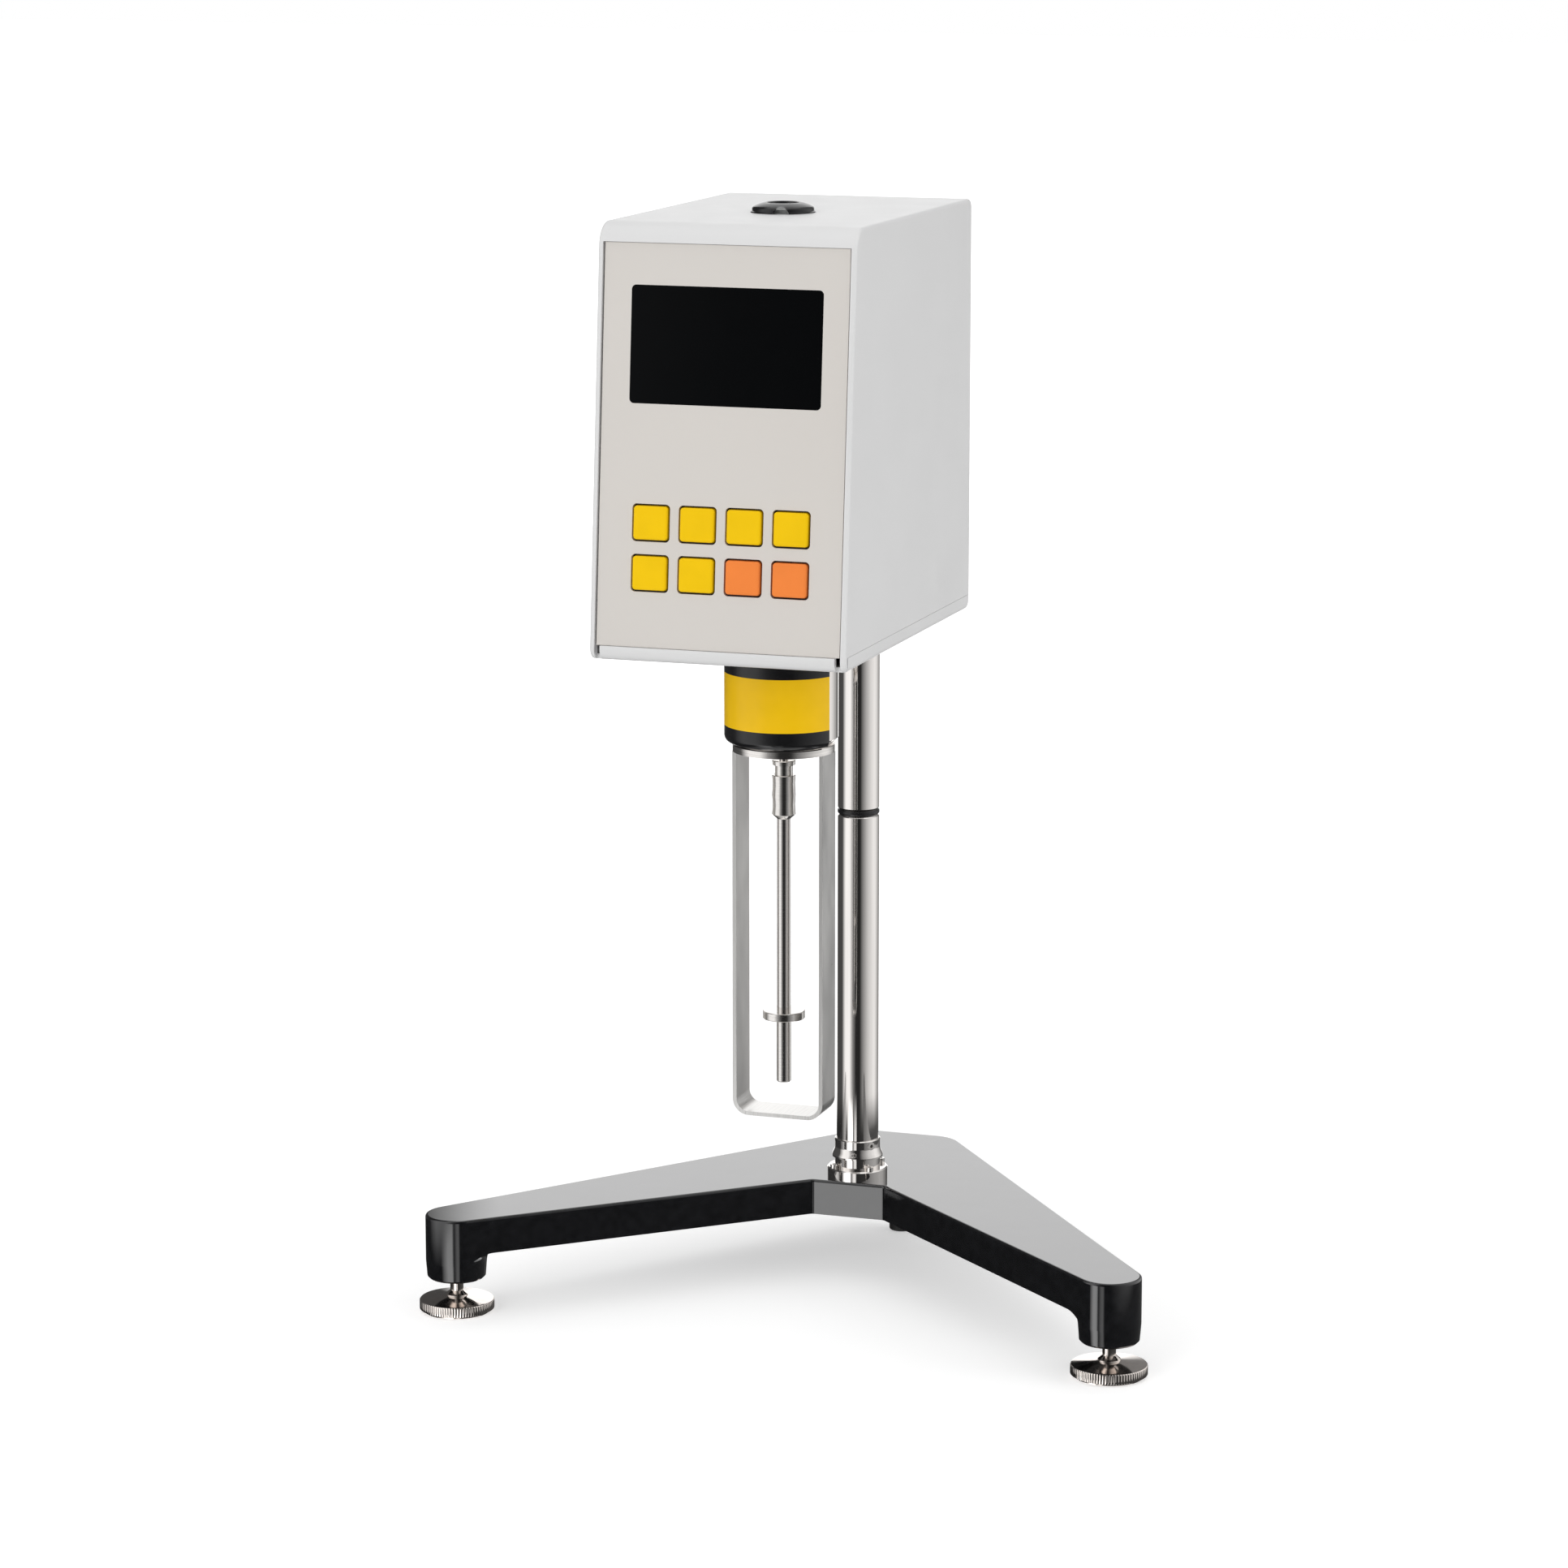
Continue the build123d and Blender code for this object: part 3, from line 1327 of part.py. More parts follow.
# Pivot housing under the head, its flange resting on the tray floor
with BuildPart() as pivot_housing:
    with BuildSketch(axial_plane(0, spindle_y)):
        with BuildLine():
            Polyline(
                (jewel_radius, housing_bottom),
                (housing_radius - housing_chamfer, housing_bottom),
                (housing_radius, housing_bottom + housing_chamfer),
                (housing_radius, tray_floor_z),
                (housing_flange_radius, tray_floor_z),
                (housing_flange_radius, tray_floor_z + housing_flange_thickness),
                (housing_radius - housing_wall, tray_floor_z + housing_flange_thickness),
                (housing_radius - housing_wall, housing_bottom + housing_web),
                (jewel_radius, housing_bottom + housing_web),
                close=True,
            )
        make_face()
    revolve(axis=upright(0, spindle_y))
keep("pivot_housing", pivot_housing.part)

collar_start = -90 - collar_half_angle
with BuildPart() as collar_cover:
    with BuildSketch(axial_plane(0, spindle_y, collar_start)):
        with BuildLine():
            Spline(
                (collar_radius - collar_rounding, collar_bottom),
                (collar_radius, collar_bottom + 1.2 * collar_rounding),
                tangents=((1, 0.3), (0, 1)),
            )
            Polyline(
                (collar_radius, collar_bottom + 1.2 * collar_rounding),
                (collar_radius, band_bottom),
                (collar_radius - band_thickness, band_bottom),
                (collar_radius - band_thickness, band_top),
                (collar_radius, band_top),
                (collar_radius, head_bottom - sheet_gap),
                (housing_radius + slip_fit, head_bottom - sheet_gap),
                (housing_radius + slip_fit, housing_bottom + housing_chamfer),
                (housing_radius + slip_fit - housing_chamfer, housing_bottom),
                (housing_radius + slip_fit - housing_chamfer, collar_bottom),
                (collar_radius - collar_rounding, collar_bottom),
            )
        make_face()
    revolve(axis=upright(0, spindle_y), revolution_arc=2 * collar_half_angle)
keep("collar_cover", collar_cover.part)

with BuildPart() as collar_band:
    with BuildSketch(axial_plane(0, spindle_y, collar_start)):
        with BuildLine():
            Polyline(
                (collar_radius - band_thickness, band_bottom),
                (collar_radius, band_bottom),
                (collar_radius, band_top),
                (collar_radius - band_thickness, band_top),
                close=True,
            )
        make_face()
    revolve(axis=upright(0, spindle_y), revolution_arc=2 * collar_half_angle)
keep("collar_band", collar_band.part)

# Guard: a ring under the pivot housing and a strap bent into a U round the spindle
with BuildPart() as guard_ring:
    with BuildSketch(axial_plane(0, spindle_y)):
        with BuildLine():
            Polyline(
                (guard_ring_hole, guard_ring_bottom),
                (guard_ring_radius, guard_ring_bottom),
                (guard_ring_radius, guard_ring_bottom + guard_ring_thickness - 0.4),
                (guard_ring_radius - 0.4, guard_ring_bottom + guard_ring_thickness),
                (guard_neck_radius, guard_ring_bottom + guard_ring_thickness),
                (guard_neck_radius, housing_bottom),
                (guard_ring_hole, housing_bottom),
                close=True,
            )
        make_face()
    revolve(axis=upright(0, spindle_y))
keep("guard_ring", guard_ring.part)

with BuildPart() as guard_leg:
    with BuildSketch(Plane.XZ.offset(-spindle_y)) as guard_outline:
        with Locations((0, guard_bottom)):
            Rectangle(
                2 * guard_half_width,
                guard_ring_bottom - guard_bottom,
                align=(Align.CENTER, Align.MIN),
            )
        fillet(guard_outline.vertices().group_by(Axis.Y)[0], guard_rounding)
    extrude(amount=guard_strap / 2, both=True)
    with BuildSketch(Plane.XZ.offset(-spindle_y)) as guard_opening:
        with Locations((0, guard_bottom + guard_thickness)):
            Rectangle(
                2 * (guard_half_width - guard_thickness),
                guard_ring_bottom - guard_bottom,
                align=(Align.CENTER, Align.MIN),
            )
        fillet(guard_opening.vertices().group_by(Axis.Y)[0], guard_rounding - guard_thickness)
    extrude(amount=guard_strap, both=True, mode=Mode.SUBTRACT)
keep("guard_leg", guard_leg.part)

# Coupling between the measuring shaft and the spindle
with BuildPart() as coupling_nut:
    with BuildSketch(axial_plane(0, spindle_y)):
        with BuildLine():
            Polyline(
                (0, coupling_bottom + spindle_stub_length),
                (spindle_stub_radius + slip_fit, coupling_bottom + spindle_stub_length),
                (spindle_stub_radius + slip_fit, coupling_bottom),
                (spindle_radius, coupling_bottom),
                (coupling_radius, coupling_nut_bottom),
                (coupling_radius, coupling_nut_top),
                (coupling_neck_radius, coupling_nut_top),
                (coupling_neck_radius, coupling_collar_z),
                (coupling_radius, coupling_collar_z),
                (coupling_radius, coupling_top),
                (shaft_radius, coupling_top),
                (shaft_radius, coupling_shaft_z),
                (0, coupling_shaft_z),
                close=True,
            )
        make_face()
        for groove_rise in coupling_groove_rises:
            with Locations((coupling_radius, coupling_bottom + groove_rise)):
                Rectangle(2 * coupling_groove, coupling_groove_width, mode=Mode.SUBTRACT)
    revolve(axis=upright(0, spindle_y))
keep("coupling_nut", coupling_nut.part)

spindle_disc_top = spindle_disc_bottom + spindle_disc_thickness
with BuildPart() as spindle:
    with BuildSketch(axial_plane(0, spindle_y)):
        with BuildLine():
            Polyline(
                (0, spindle_bottom),
                (spindle_tail_radius - 0.5, spindle_bottom),
                (spindle_tail_radius, spindle_bottom + 0.5),
                (spindle_tail_radius, spindle_disc_bottom),
                (spindle_disc_radius - 0.3, spindle_disc_bottom),
                (spindle_disc_radius, spindle_disc_bottom + 0.3),
                (spindle_disc_radius, spindle_disc_top - 0.3),
                (spindle_disc_radius - 0.3, spindle_disc_top),
                (spindle_radius, spindle_disc_top),
                (spindle_radius, coupling_bottom),
                (spindle_stub_radius, coupling_bottom),
                (spindle_stub_radius, coupling_bottom + spindle_stub_length - 0.5),
                (0, coupling_bottom + spindle_stub_length - 0.5),
                close=True,
            )
        make_face()
    revolve(axis=upright(0, spindle_y))
keep("spindle", spindle.part)

# Clamp on the rear panel: block, screws, a key that runs in the keyway, and the knob that presses it
with BuildPart() as clamp_block:
    with BuildSketch(Plane.XY.offset(clamp_bottom)) as clamp_outline:
        with Locations((0, head_rear_y)):
            Rectangle(
                2 * clamp_half_width,
                clamp_rear_y - head_rear_y,
                align=(Align.CENTER, Align.MIN),
            )
        fillet(clamp_outline.vertices().group_by(Axis.Y)[-1], clamp_rounding)
        with Locations((0, column_y)):
            Circle(column_radius + slip_fit, mode=Mode.SUBTRACT)
    extrude(amount=clamp_height)
    chamfer(clamp_block.faces().sort_by(Axis.Y)[-1].edges(), 1.0)
    for screw_x, screw_z in clamp_screw_places:
        with Locations(Location((screw_x, head_rear_y, screw_z), (-90, 0, 0))):
            Cylinder(
                clamp_screw_radius + slip_fit,
                clamp_screw_depth,
                align=(Align.CENTER, Align.CENTER, Align.MIN),
                mode=Mode.SUBTRACT,
            )
    with Locations(Location((0, column_y, clamp_middle_z), (-90, 0, 0))):
        Cylinder(
            clamp_key_radius + slip_fit,
            2 * clamp_rear_y,
            align=(Align.CENTER, Align.CENTER, Align.MIN),
            mode=Mode.SUBTRACT,
        )
keep("clamp_block", clamp_block.part)

with BuildPart() as clamp_screws:
    for screw_x, screw_z in clamp_screw_places:
        with Locations(Location((screw_x, mast_front_y, screw_z), (-90, 0, 0))):
            Cylinder(
                clamp_screw_radius,
                head_rear_y - mast_front_y + clamp_screw_depth - clamp_screw_tip_room,
                align=(Align.CENTER, Align.CENTER, Align.MIN),
            )
            Cylinder(
                clamp_screw_head_radius,
                clamp_screw_head_height,
                align=(Align.CENTER, Align.CENTER, Align.MAX),
            )
keep("clamp_screws", clamp_screws.part)

key_tip_y = column_y + column_radius - keyway_depth + body_gap
with BuildPart() as clamp_key:
    with BuildSketch(Plane.XZ.offset(-key_tip_y)):
        with Locations((0, clamp_middle_z)):
            Circle(clamp_key_radius)
            Rectangle(keyway_width - 2 * body_gap, 4 * clamp_key_radius, mode=Mode.INTERSECT)
    extrude(amount=-(column_radius + body_gap + column_y - key_tip_y))
    with BuildSketch(Plane.XZ.offset(-column_y - column_radius - body_gap)):
        with Locations((0, clamp_middle_z)):
            Circle(clamp_key_radius)
    extrude(amount=-clamp_key_head)
keep("clamp_key", clamp_key.part)

knob_base_y = clamp_rear_y + knob_neck_length + body_gap
with BuildPart() as clamp_knob:
    with BuildSketch(Plane.XZ.offset(-knob_base_y)):
        with Locations((0, clamp_middle_z)):
            Circle(knob_radius - knob_lobe_radius * 0.5)
            with PolarLocations(knob_radius - knob_lobe_radius, knob_lobes):
                Circle(knob_lobe_radius)
    extrude(amount=-knob_length)
    fillet(clamp_knob.faces().sort_by(Axis.Y)[-1].edges(), 1.5)
    with BuildSketch(Plane.XZ.offset(-knob_base_y)):
        with Locations((0, clamp_middle_z)):
            Circle(knob_neck_radius)
    extrude(amount=knob_neck_length)
    with BuildSketch(Plane.XZ.offset(-knob_base_y)):
        with Locations((0, clamp_middle_z)):
            Circle(clamp_stud_radius)
    extrude(amount=knob_base_y - column_y - column_radius - body_gap - clamp_key_head - body_gap)
keep("clamp_knob", clamp_knob.part)

print(len(pieces), "pieces")
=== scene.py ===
# %% [markdown]
# # Dressing a bench viscometer
# A viscometer turns a disc in a liquid and measures how strongly the liquid holds it back. This one is a
# white head on a chrome column and a black casting, with the disc spindle hanging in a steel guard.
#
# The construction comes in as a fixed frame: every rigid piece is already at its real size and place.
# It could all be modelled again here, but then the two models would drift apart. So this lesson gives
# each piece its finish, makes a finer mesh only for the few turned or moulded pieces that need one, and
# sets the camera and the studio. All lengths are in metres.

# %% Load the frame
import json
from math import atan2, cos, degrees, pi, radians, sin, sqrt

import bmesh
import bpy
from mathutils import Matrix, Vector


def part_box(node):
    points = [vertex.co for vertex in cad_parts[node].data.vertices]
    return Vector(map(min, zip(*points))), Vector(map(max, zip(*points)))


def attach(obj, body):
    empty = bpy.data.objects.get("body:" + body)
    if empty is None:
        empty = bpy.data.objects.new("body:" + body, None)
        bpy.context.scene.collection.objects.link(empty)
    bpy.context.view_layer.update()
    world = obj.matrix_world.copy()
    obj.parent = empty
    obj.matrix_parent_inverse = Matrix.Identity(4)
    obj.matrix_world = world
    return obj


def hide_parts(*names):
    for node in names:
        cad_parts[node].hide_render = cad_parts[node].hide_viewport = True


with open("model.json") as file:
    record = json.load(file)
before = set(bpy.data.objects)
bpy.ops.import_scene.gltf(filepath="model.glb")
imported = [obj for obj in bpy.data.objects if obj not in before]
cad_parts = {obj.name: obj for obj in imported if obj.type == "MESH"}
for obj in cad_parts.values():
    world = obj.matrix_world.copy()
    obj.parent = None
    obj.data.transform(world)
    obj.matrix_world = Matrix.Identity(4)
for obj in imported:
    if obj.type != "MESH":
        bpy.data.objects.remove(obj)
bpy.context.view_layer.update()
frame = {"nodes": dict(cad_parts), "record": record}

MM = 0.001
nodes = frame["nodes"]

# %% [markdown]
# ## Shader maths as plain Python
# A material is a graph of nodes. Linking them one by one is possible, but it hides what is computed. So
# the output of a node is wrapped in a small class, and its operators add Math nodes: `1 - mask * 0.3`
# then reads as what it does.

# %% Sockets
class Socket:
    """The output of a node. Arithmetic on it adds Math nodes to the same graph."""

    def __init__(self, graph, output):
        self.graph = graph
        self.output = output

    def maths(self, operation, first, second):
        return self.graph.node("ShaderNodeMath", {"operation": operation}, {0: first, 1: second})

    def __add__(self, other):
        return self.maths("ADD", self, other)

    def __radd__(self, other):
        return self.maths("ADD", other, self)

    def __sub__(self, other):
        return self.maths("SUBTRACT", self, other)

    def __rsub__(self, other):
        return self.maths("SUBTRACT", other, self)

    def __mul__(self, other):
        return self.maths("MULTIPLY", self, other)

    def __rmul__(self, other):
        return self.maths("MULTIPLY", other, self)


print("operators on sockets: + - *, from either side")

# %% [markdown]
# ## Graphs
# The world's light and every material are graphs of the same kind, so one class serves both. Its method
# `node` makes any node: options such as a ramp's stops come first, because they decide which inputs the
# node has, and then its inputs get values or links.

# %% Graphs
class Graph:
    """A tree of shader nodes."""

    def __init__(self, tree):
        self.tree = tree

    def connect(self, target, value):
        if isinstance(value, Socket):
            self.tree.links.new(value.output, target)
        elif target.type == "RGBA" and len(value) == 3:
            target.default_value = (*value, 1.0)
        else:
            target.default_value = value

    def node(self, kind, settings=None, inputs=None, output=0):
        made = self.tree.nodes.new(kind)
        for key, value in (settings or {}).items():
            if key == "stops":
                self.fill_ramp(made.color_ramp, value)
            else:
                setattr(made, key, value)
        for key, value in (inputs or {}).items():
            self.connect(made.inputs[key], value)
        return Socket(self, made.outputs[output])

    def fill_ramp(self, ramp, stops):
        while len(ramp.elements) > 1:
            ramp.elements.remove(ramp.elements[-1])
        for number, (place, colour) in enumerate(stops):
            element = ramp.elements[0] if number == 0 else ramp.elements.new(place)
            element.position = place
            element.color = (*colour, 1.0)


print("graph methods:", ", ".join(name for name in vars(Graph) if not name.startswith("_")))

# %% [markdown]
# ## Finishes
# A finish is a material with one Principled surface. No real surface is one flat colour: a trace of noise
# in the tone, another in the roughness and a fine one in the height are what make it look made. Image
# textures could give that too, but noise in the piece's own coordinates has no seam and no resolution.

# %% Finishes
class Finish(Graph):
    """A material with a Principled surface, built by name."""

    def __init__(self, name, **constants):
        self.material = bpy.data.materials.new(name)
        self.material.use_nodes = True
        super().__init__(self.material.node_tree)
        self.surface = self.tree.nodes["Principled BSDF"]
        for socket_name, value in constants.items():
            self.set(socket_name.replace("_", " "), value)

    def set(self, socket_name, value):
        self.connect(self.surface.inputs[socket_name], value)
        return self

    def place(self):
        """Position in the object's own frame, in metres."""
        return self.node("ShaderNodeTexCoord", output="Object")

    def stretched(self, scale):
        """The same position with each axis multiplied, which draws a pattern out along an axis."""
        return self.node(
            "ShaderNodeVectorMath", {"operation": "MULTIPLY"}, {0: self.place(), 1: scale}
        )

    def noise(self, scale, detail=3.0, roughness=0.5, vector=None):
        return self.node(
            "ShaderNodeTexNoise",
            inputs={
                "Vector": vector or self.place(),
                "Scale": scale,
                "Detail": detail,
                "Roughness": roughness,
            },
        )

    def between(self, factor, low, high):
        """Blend of two colours."""
        return self.node(
            "ShaderNodeMix",
            {"data_type": "RGBA"},
            {"Factor": factor, 6: (*low, 1.0), 7: (*high, 1.0)},
            output=2,
        )

    def spread(self, value, low, high):
        """Stretch a noise value, which mostly lies between 0.3 and 0.7, over low to high."""
        return self.node(
            "ShaderNodeMapRange",
            {"clamp": True},
            {"Value": value, "From Min": 0.3, "From Max": 0.7, "To Min": low, "To Max": high},
        )

    def bump(self, height, distance, strength=1.0):
        return self.set(
            "Normal",
            self.node(
                "ShaderNodeBump",
                inputs={"Height": height, "Distance": distance, "Strength": strength},
            ),
        )


def shaded(colour, share):
    """The colour with each channel multiplied by share."""
    return tuple(channel * share for channel in colour)


print("finish methods:", ", ".join(name for name in vars(Finish) if not name.startswith("_")))

# %% [markdown]
# ## Painted finishes
# The base is cast and stove enamelled: a deep black under a high gloss. Paint on a casting is never
# optically flat, so a wide shallow ripple disturbs its reflections, and a clear coat over the black
# gives it the bright sheen that it has when one looks along it. The housing and the panel are powder
# coated: a satin surface with a very fine peel. The peel could be real displacement, but at a fiftieth
# of a millimetre only its shading shows, so it is noise in a Bump node.

# %% Paint
def powder_coat(name, colour, roughness):
    paint = Finish(name, IOR=1.48)
    tone = paint.spread(paint.noise(9.0, detail=2.0), 0.0, 1.0)
    paint.set("Base Color", paint.between(tone, shaded(colour, 0.965), colour))
    paint.set("Roughness", paint.spread(paint.noise(60.0), roughness - 0.05, roughness + 0.05))
    paint.bump(paint.noise(1500.0, detail=2.0), 0.02 * MM, 0.35)
    return paint.material


def enamel(name, colour, roughness):
    paint = Finish(name, IOR=1.5, Coat_Weight=1.0, Coat_Roughness=0.06, Coat_IOR=1.5)
    dust = paint.spread(paint.noise(220.0, detail=4.0), 0.0, 1.0)
    greyer = tuple(channel * 1.8 + 0.002 for channel in colour)
    paint.set("Base Color", paint.between(dust, colour, greyer))
    paint.set("Roughness", paint.spread(paint.noise(35.0), roughness * 0.75, roughness * 1.25))
    paint.bump(paint.noise(55.0, detail=1.0), 0.25 * MM, 0.25)
    return paint.material


cover_white = powder_coat("cover_white", (0.80, 0.80, 0.80), 0.42)
panel_grey = powder_coat("panel_grey", (0.73, 0.695, 0.655), 0.45)
casting_black = enamel("casting_black", (0.0045, 0.0047, 0.0055), 0.10)
print("paints:", cover_white.name, panel_grey.name, casting_black.name)

# %% [markdown]
# ## Metals
# The column, its flange and the housing under the head are polished and plated, so their look is their
# reflection. A trace of roughness and long faint draw marks stop them from looking computed. The guard,
# spindle and coupling are turned or rolled steel, with the fine lines of the tool. The shader's
# anisotropy could stretch their highlights, but it shows no single lines, so they are noise instead,
# stretched round the axis or along the strap.

# %% Metal
def plated(name, colour, roughness, streak=(1.0, 1.0, 0.04)):
    metal = Finish(name, Metallic=1.0)
    marks = metal.noise(420.0, detail=2.0, vector=metal.stretched(streak))
    tone = metal.spread(marks, 0.0, 1.0)
    metal.set("Base Color", metal.between(tone, shaded(colour, 0.93), colour))
    metal.set("Roughness", metal.spread(metal.noise(90.0), roughness * 0.6, roughness * 1.4))
    metal.bump(marks, 0.004 * MM, 0.3)
    return metal.material


def turned(name, colour, roughness, lines=(0.12, 0.12, 14.0)):
    metal = Finish(name, Metallic=1.0)
    marks = metal.noise(160.0, detail=3.0, roughness=0.6, vector=metal.stretched(lines))
    tone = metal.spread(marks, 0.0, 1.0)
    metal.set("Base Color", metal.between(tone, shaded(colour, 0.82), colour))
    metal.set("Roughness", metal.spread(marks, roughness * 0.8, roughness * 1.25))
    metal.bump(marks, 0.01 * MM, 0.4)
    return metal.material


chrome = plated("chrome", (0.94, 0.905, 0.875), 0.06)
foot_nickel = plated("foot_nickel", (0.93, 0.86, 0.81), 0.12)
steel = turned("steel", (0.93, 0.90, 0.87), 0.16)
strap_steel = turned("strap_steel", (0.90, 0.89, 0.87), 0.34, lines=(12.0, 0.3, 0.12))
sheet_steel = turned("sheet_steel", (0.55, 0.56, 0.56), 0.38, lines=(1.0, 1.0, 0.2))
aluminium = turned("aluminium", (0.72, 0.72, 0.73), 0.34, lines=(1.0, 6.0, 1.0))
brass = turned("brass", (0.78, 0.60, 0.30), 0.28)
print("metals:", chrome.name, foot_nickel.name, steel.name, strap_steel.name)

# %% [markdown]
# ## Plastics and rubber
# The keys are moulded with the colour all through, under a smooth satin skin that mirrors little, so
# their specular level is low. The level, the front half of the collar and the connectors are black
# plastic, and the display is a polished window over a dark cell. All of them are one recipe with other
# numbers, and rubber is the same with a coarser grain, so one function makes them.

# %% Plastic
def moulded(name, colour, roughness, grain=900.0, depth=0.02 * MM, gloss=0.5):
    plastic = Finish(name, IOR=1.49, Specular_IOR_Level=gloss)
    tone = plastic.spread(plastic.noise(70.0, detail=2.0), 0.0, 1.0)
    plastic.set("Base Color", plastic.between(tone, shaded(colour, 0.94), colour))
    plastic.set("Roughness", plastic.spread(plastic.noise(140.0), roughness - 0.04, roughness + 0.04))
    plastic.bump(plastic.noise(grain, detail=2.0), depth, 0.4)
    return plastic.material


key_yellow = moulded("key_yellow", (1.0, 0.63, 0.0), 0.34, gloss=0.15)
key_orange = moulded("key_orange", (1.0, 0.27, 0.055), 0.34, gloss=0.15)
band_yellow = moulded("band_yellow", (1.0, 0.60, 0.0), 0.22, gloss=0.3)
black_plastic = moulded("black_plastic", (0.012, 0.012, 0.013), 0.32)
collar_black = moulded("collar_black", (0.010, 0.010, 0.011), 0.20)
rubber_black = moulded("rubber_black", (0.016, 0.016, 0.016), 0.62, grain=1800.0, depth=0.05 * MM)
board_green = moulded("board_green", (0.01, 0.10, 0.045), 0.35)
display_black = moulded(
    "display_black", (0.0015, 0.0018, 0.0022), 0.12, depth=0.004 * MM, gloss=0.1
)
vial_white = moulded("vial_white", (0.86, 0.88, 0.86), 0.12)
print("plastics:", key_yellow.name, black_plastic.name, display_black.name)

# %% [markdown]
# ## Finishes on the construction's own pieces
# Sheet-metal covers, the casting, the column and the mechanism keep the meshes of the construction. The
# record names a material slot for each piece. A finish could be given piece by piece, but a slot is what
# the maker would order from one supplier, so the finish goes by slot. A few pieces want their own, such
# as the strap of the guard, whose lines run along it, and the yellow band round the black collar.

# %% Dress the construction
finish_of_slot = {
    "casting_black": casting_black,
    "chrome": chrome,
    "foot_nickel": foot_nickel,
    "rubber_black": rubber_black,
    "steel": steel,
    "cover_white": cover_white,
    "panel_grey": panel_grey,
    "key_yellow": key_yellow,
    "key_orange": key_orange,
    "black_plastic": black_plastic,
    "display_black": display_black,
    "vial_clear": vial_white,
    "sheet_steel": sheet_steel,
    "aluminium": aluminium,
    "brass": brass,
    "board_green": board_green,
}
finish_of_node = {
    "guard_leg": strap_steel,
    "collar_cover": collar_black,
    "collar_band": band_yellow,
    "column_ring": collar_black,
    "level_bezel": collar_black,
}
slot_of_node = {entry["node"]: entry["material_slot"] for entry in frame["record"]["subparts"]}


def dress(piece, material):
    """Give a piece one finish all over."""
    piece.data.materials.clear()
    piece.data.materials.append(material)


for node_name, node_object in nodes.items():
    dress(node_object, finish_of_node.get(node_name, finish_of_slot[slot_of_node[node_name]]))
print("dressed", len(nodes), "pieces")

# %% [markdown]
# ## Adding a piece
# A new piece stands for a piece of the construction, which stays hidden behind it for collisions. It
# rides on the same body, so that it follows every joint. Its faces are shaded smooth, and the edges
# that are really sharp stay sharp.

# %% Adding a piece
SHARP_ANGLE = radians(32)


def add_piece(name, mesh, material, body, replaced):
    """Put a finished mesh in the scene, riding on a body and standing for the node it replaces."""
    mesh.set_sharp_from_angle(angle=SHARP_ANGLE)
    piece = bpy.data.objects.new(name, mesh)
    bpy.context.scene.collection.objects.link(piece)
    dress(piece, material)
    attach(piece, body)
    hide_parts(replaced)
    return piece


print("edges over", round(degrees(SHARP_ANGLE)), "degrees stay sharp")

# %% [markdown]
# ## Turning on a lathe
# Feet, coupling and level are all round, and the first two really are turned. A Screw modifier could
# sweep their profile, but it can't cut a knurl or an opening. So a profile of radius and height is swept
# in mesh code, and a function may move each point as it is placed. There are enough segments that the
# outline stays round in a close view.

# %% Turning on a lathe
def middle_of(node_name):
    """Centre of a node's box."""
    low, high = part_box(node_name)
    return (Vector(low) + Vector(high)) / 2


def unchanged(angle, radius, height):
    return radius, height


def turned_ring(mesh, centre, radius, height, segments, shape):
    """The points of one ring of the profile, or its one point on the axis."""
    if radius == 0:
        return [mesh.verts.new((centre.x, centre.y, height))]
    ring = []
    for step in range(segments):
        angle = 2 * pi * step / segments
        reach, rise = shape(angle, radius, height)
        ring.append(mesh.verts.new((centre.x + reach * cos(angle), centre.y + reach * sin(angle), rise)))
    return ring


def lathe_mesh(name, profile, centre, segments=160, shape=unchanged):
    """Sweep (radius, height) points round the upright axis at centre. shape(angle, radius, height)
    gives the changed radius and height of a point, for a knurl or an opening."""
    mesh = bmesh.new()
    rings = [turned_ring(mesh, centre, radius, height, segments, shape) for radius, height in profile]
    for lower, upper in zip(rings, rings[1:]):
        for step in range(segments):
            after = (step + 1) % segments
            corners = [
                lower[step % len(lower)],
                lower[after % len(lower)],
                upper[after % len(upper)],
                upper[step % len(upper)],
            ]
            mesh.faces.new(list(dict.fromkeys(corners)))
    bmesh.ops.recalc_face_normals(mesh, faces=mesh.faces)
    result = bpy.data.meshes.new(name)
    mesh.to_mesh(result)
    mesh.free()
    for face in result.polygons:
        face.use_smooth = True
    return result


print("lathe ready, column centre at", tuple(round(value, 3) for value in middle_of("lower_column")))

# %% [markdown]
# ## Levelling feet
# Each foot is turned from one bar and nickel plated: a knurled disc to turn by hand, a slightly conical
# top, a waist between two cones and the stem. The knurl could be a bump in the finish, but it shows in
# the outline of the disc. It is straight, so it is a ripple of the radius along the rim only.

# %% Levelling feet
KNURLS = 84
KNURL_DEPTH = 0.22 * MM
STEPS_PER_KNURL = 6
UNDERCUT = 2.0 * MM
RIM_BASE = 1.2 * MM
RIM_TOP = 6.1 * MM
SHOULDER_RADIUS = 5.2 * MM
STEM_RADIUS = 3.1 * MM


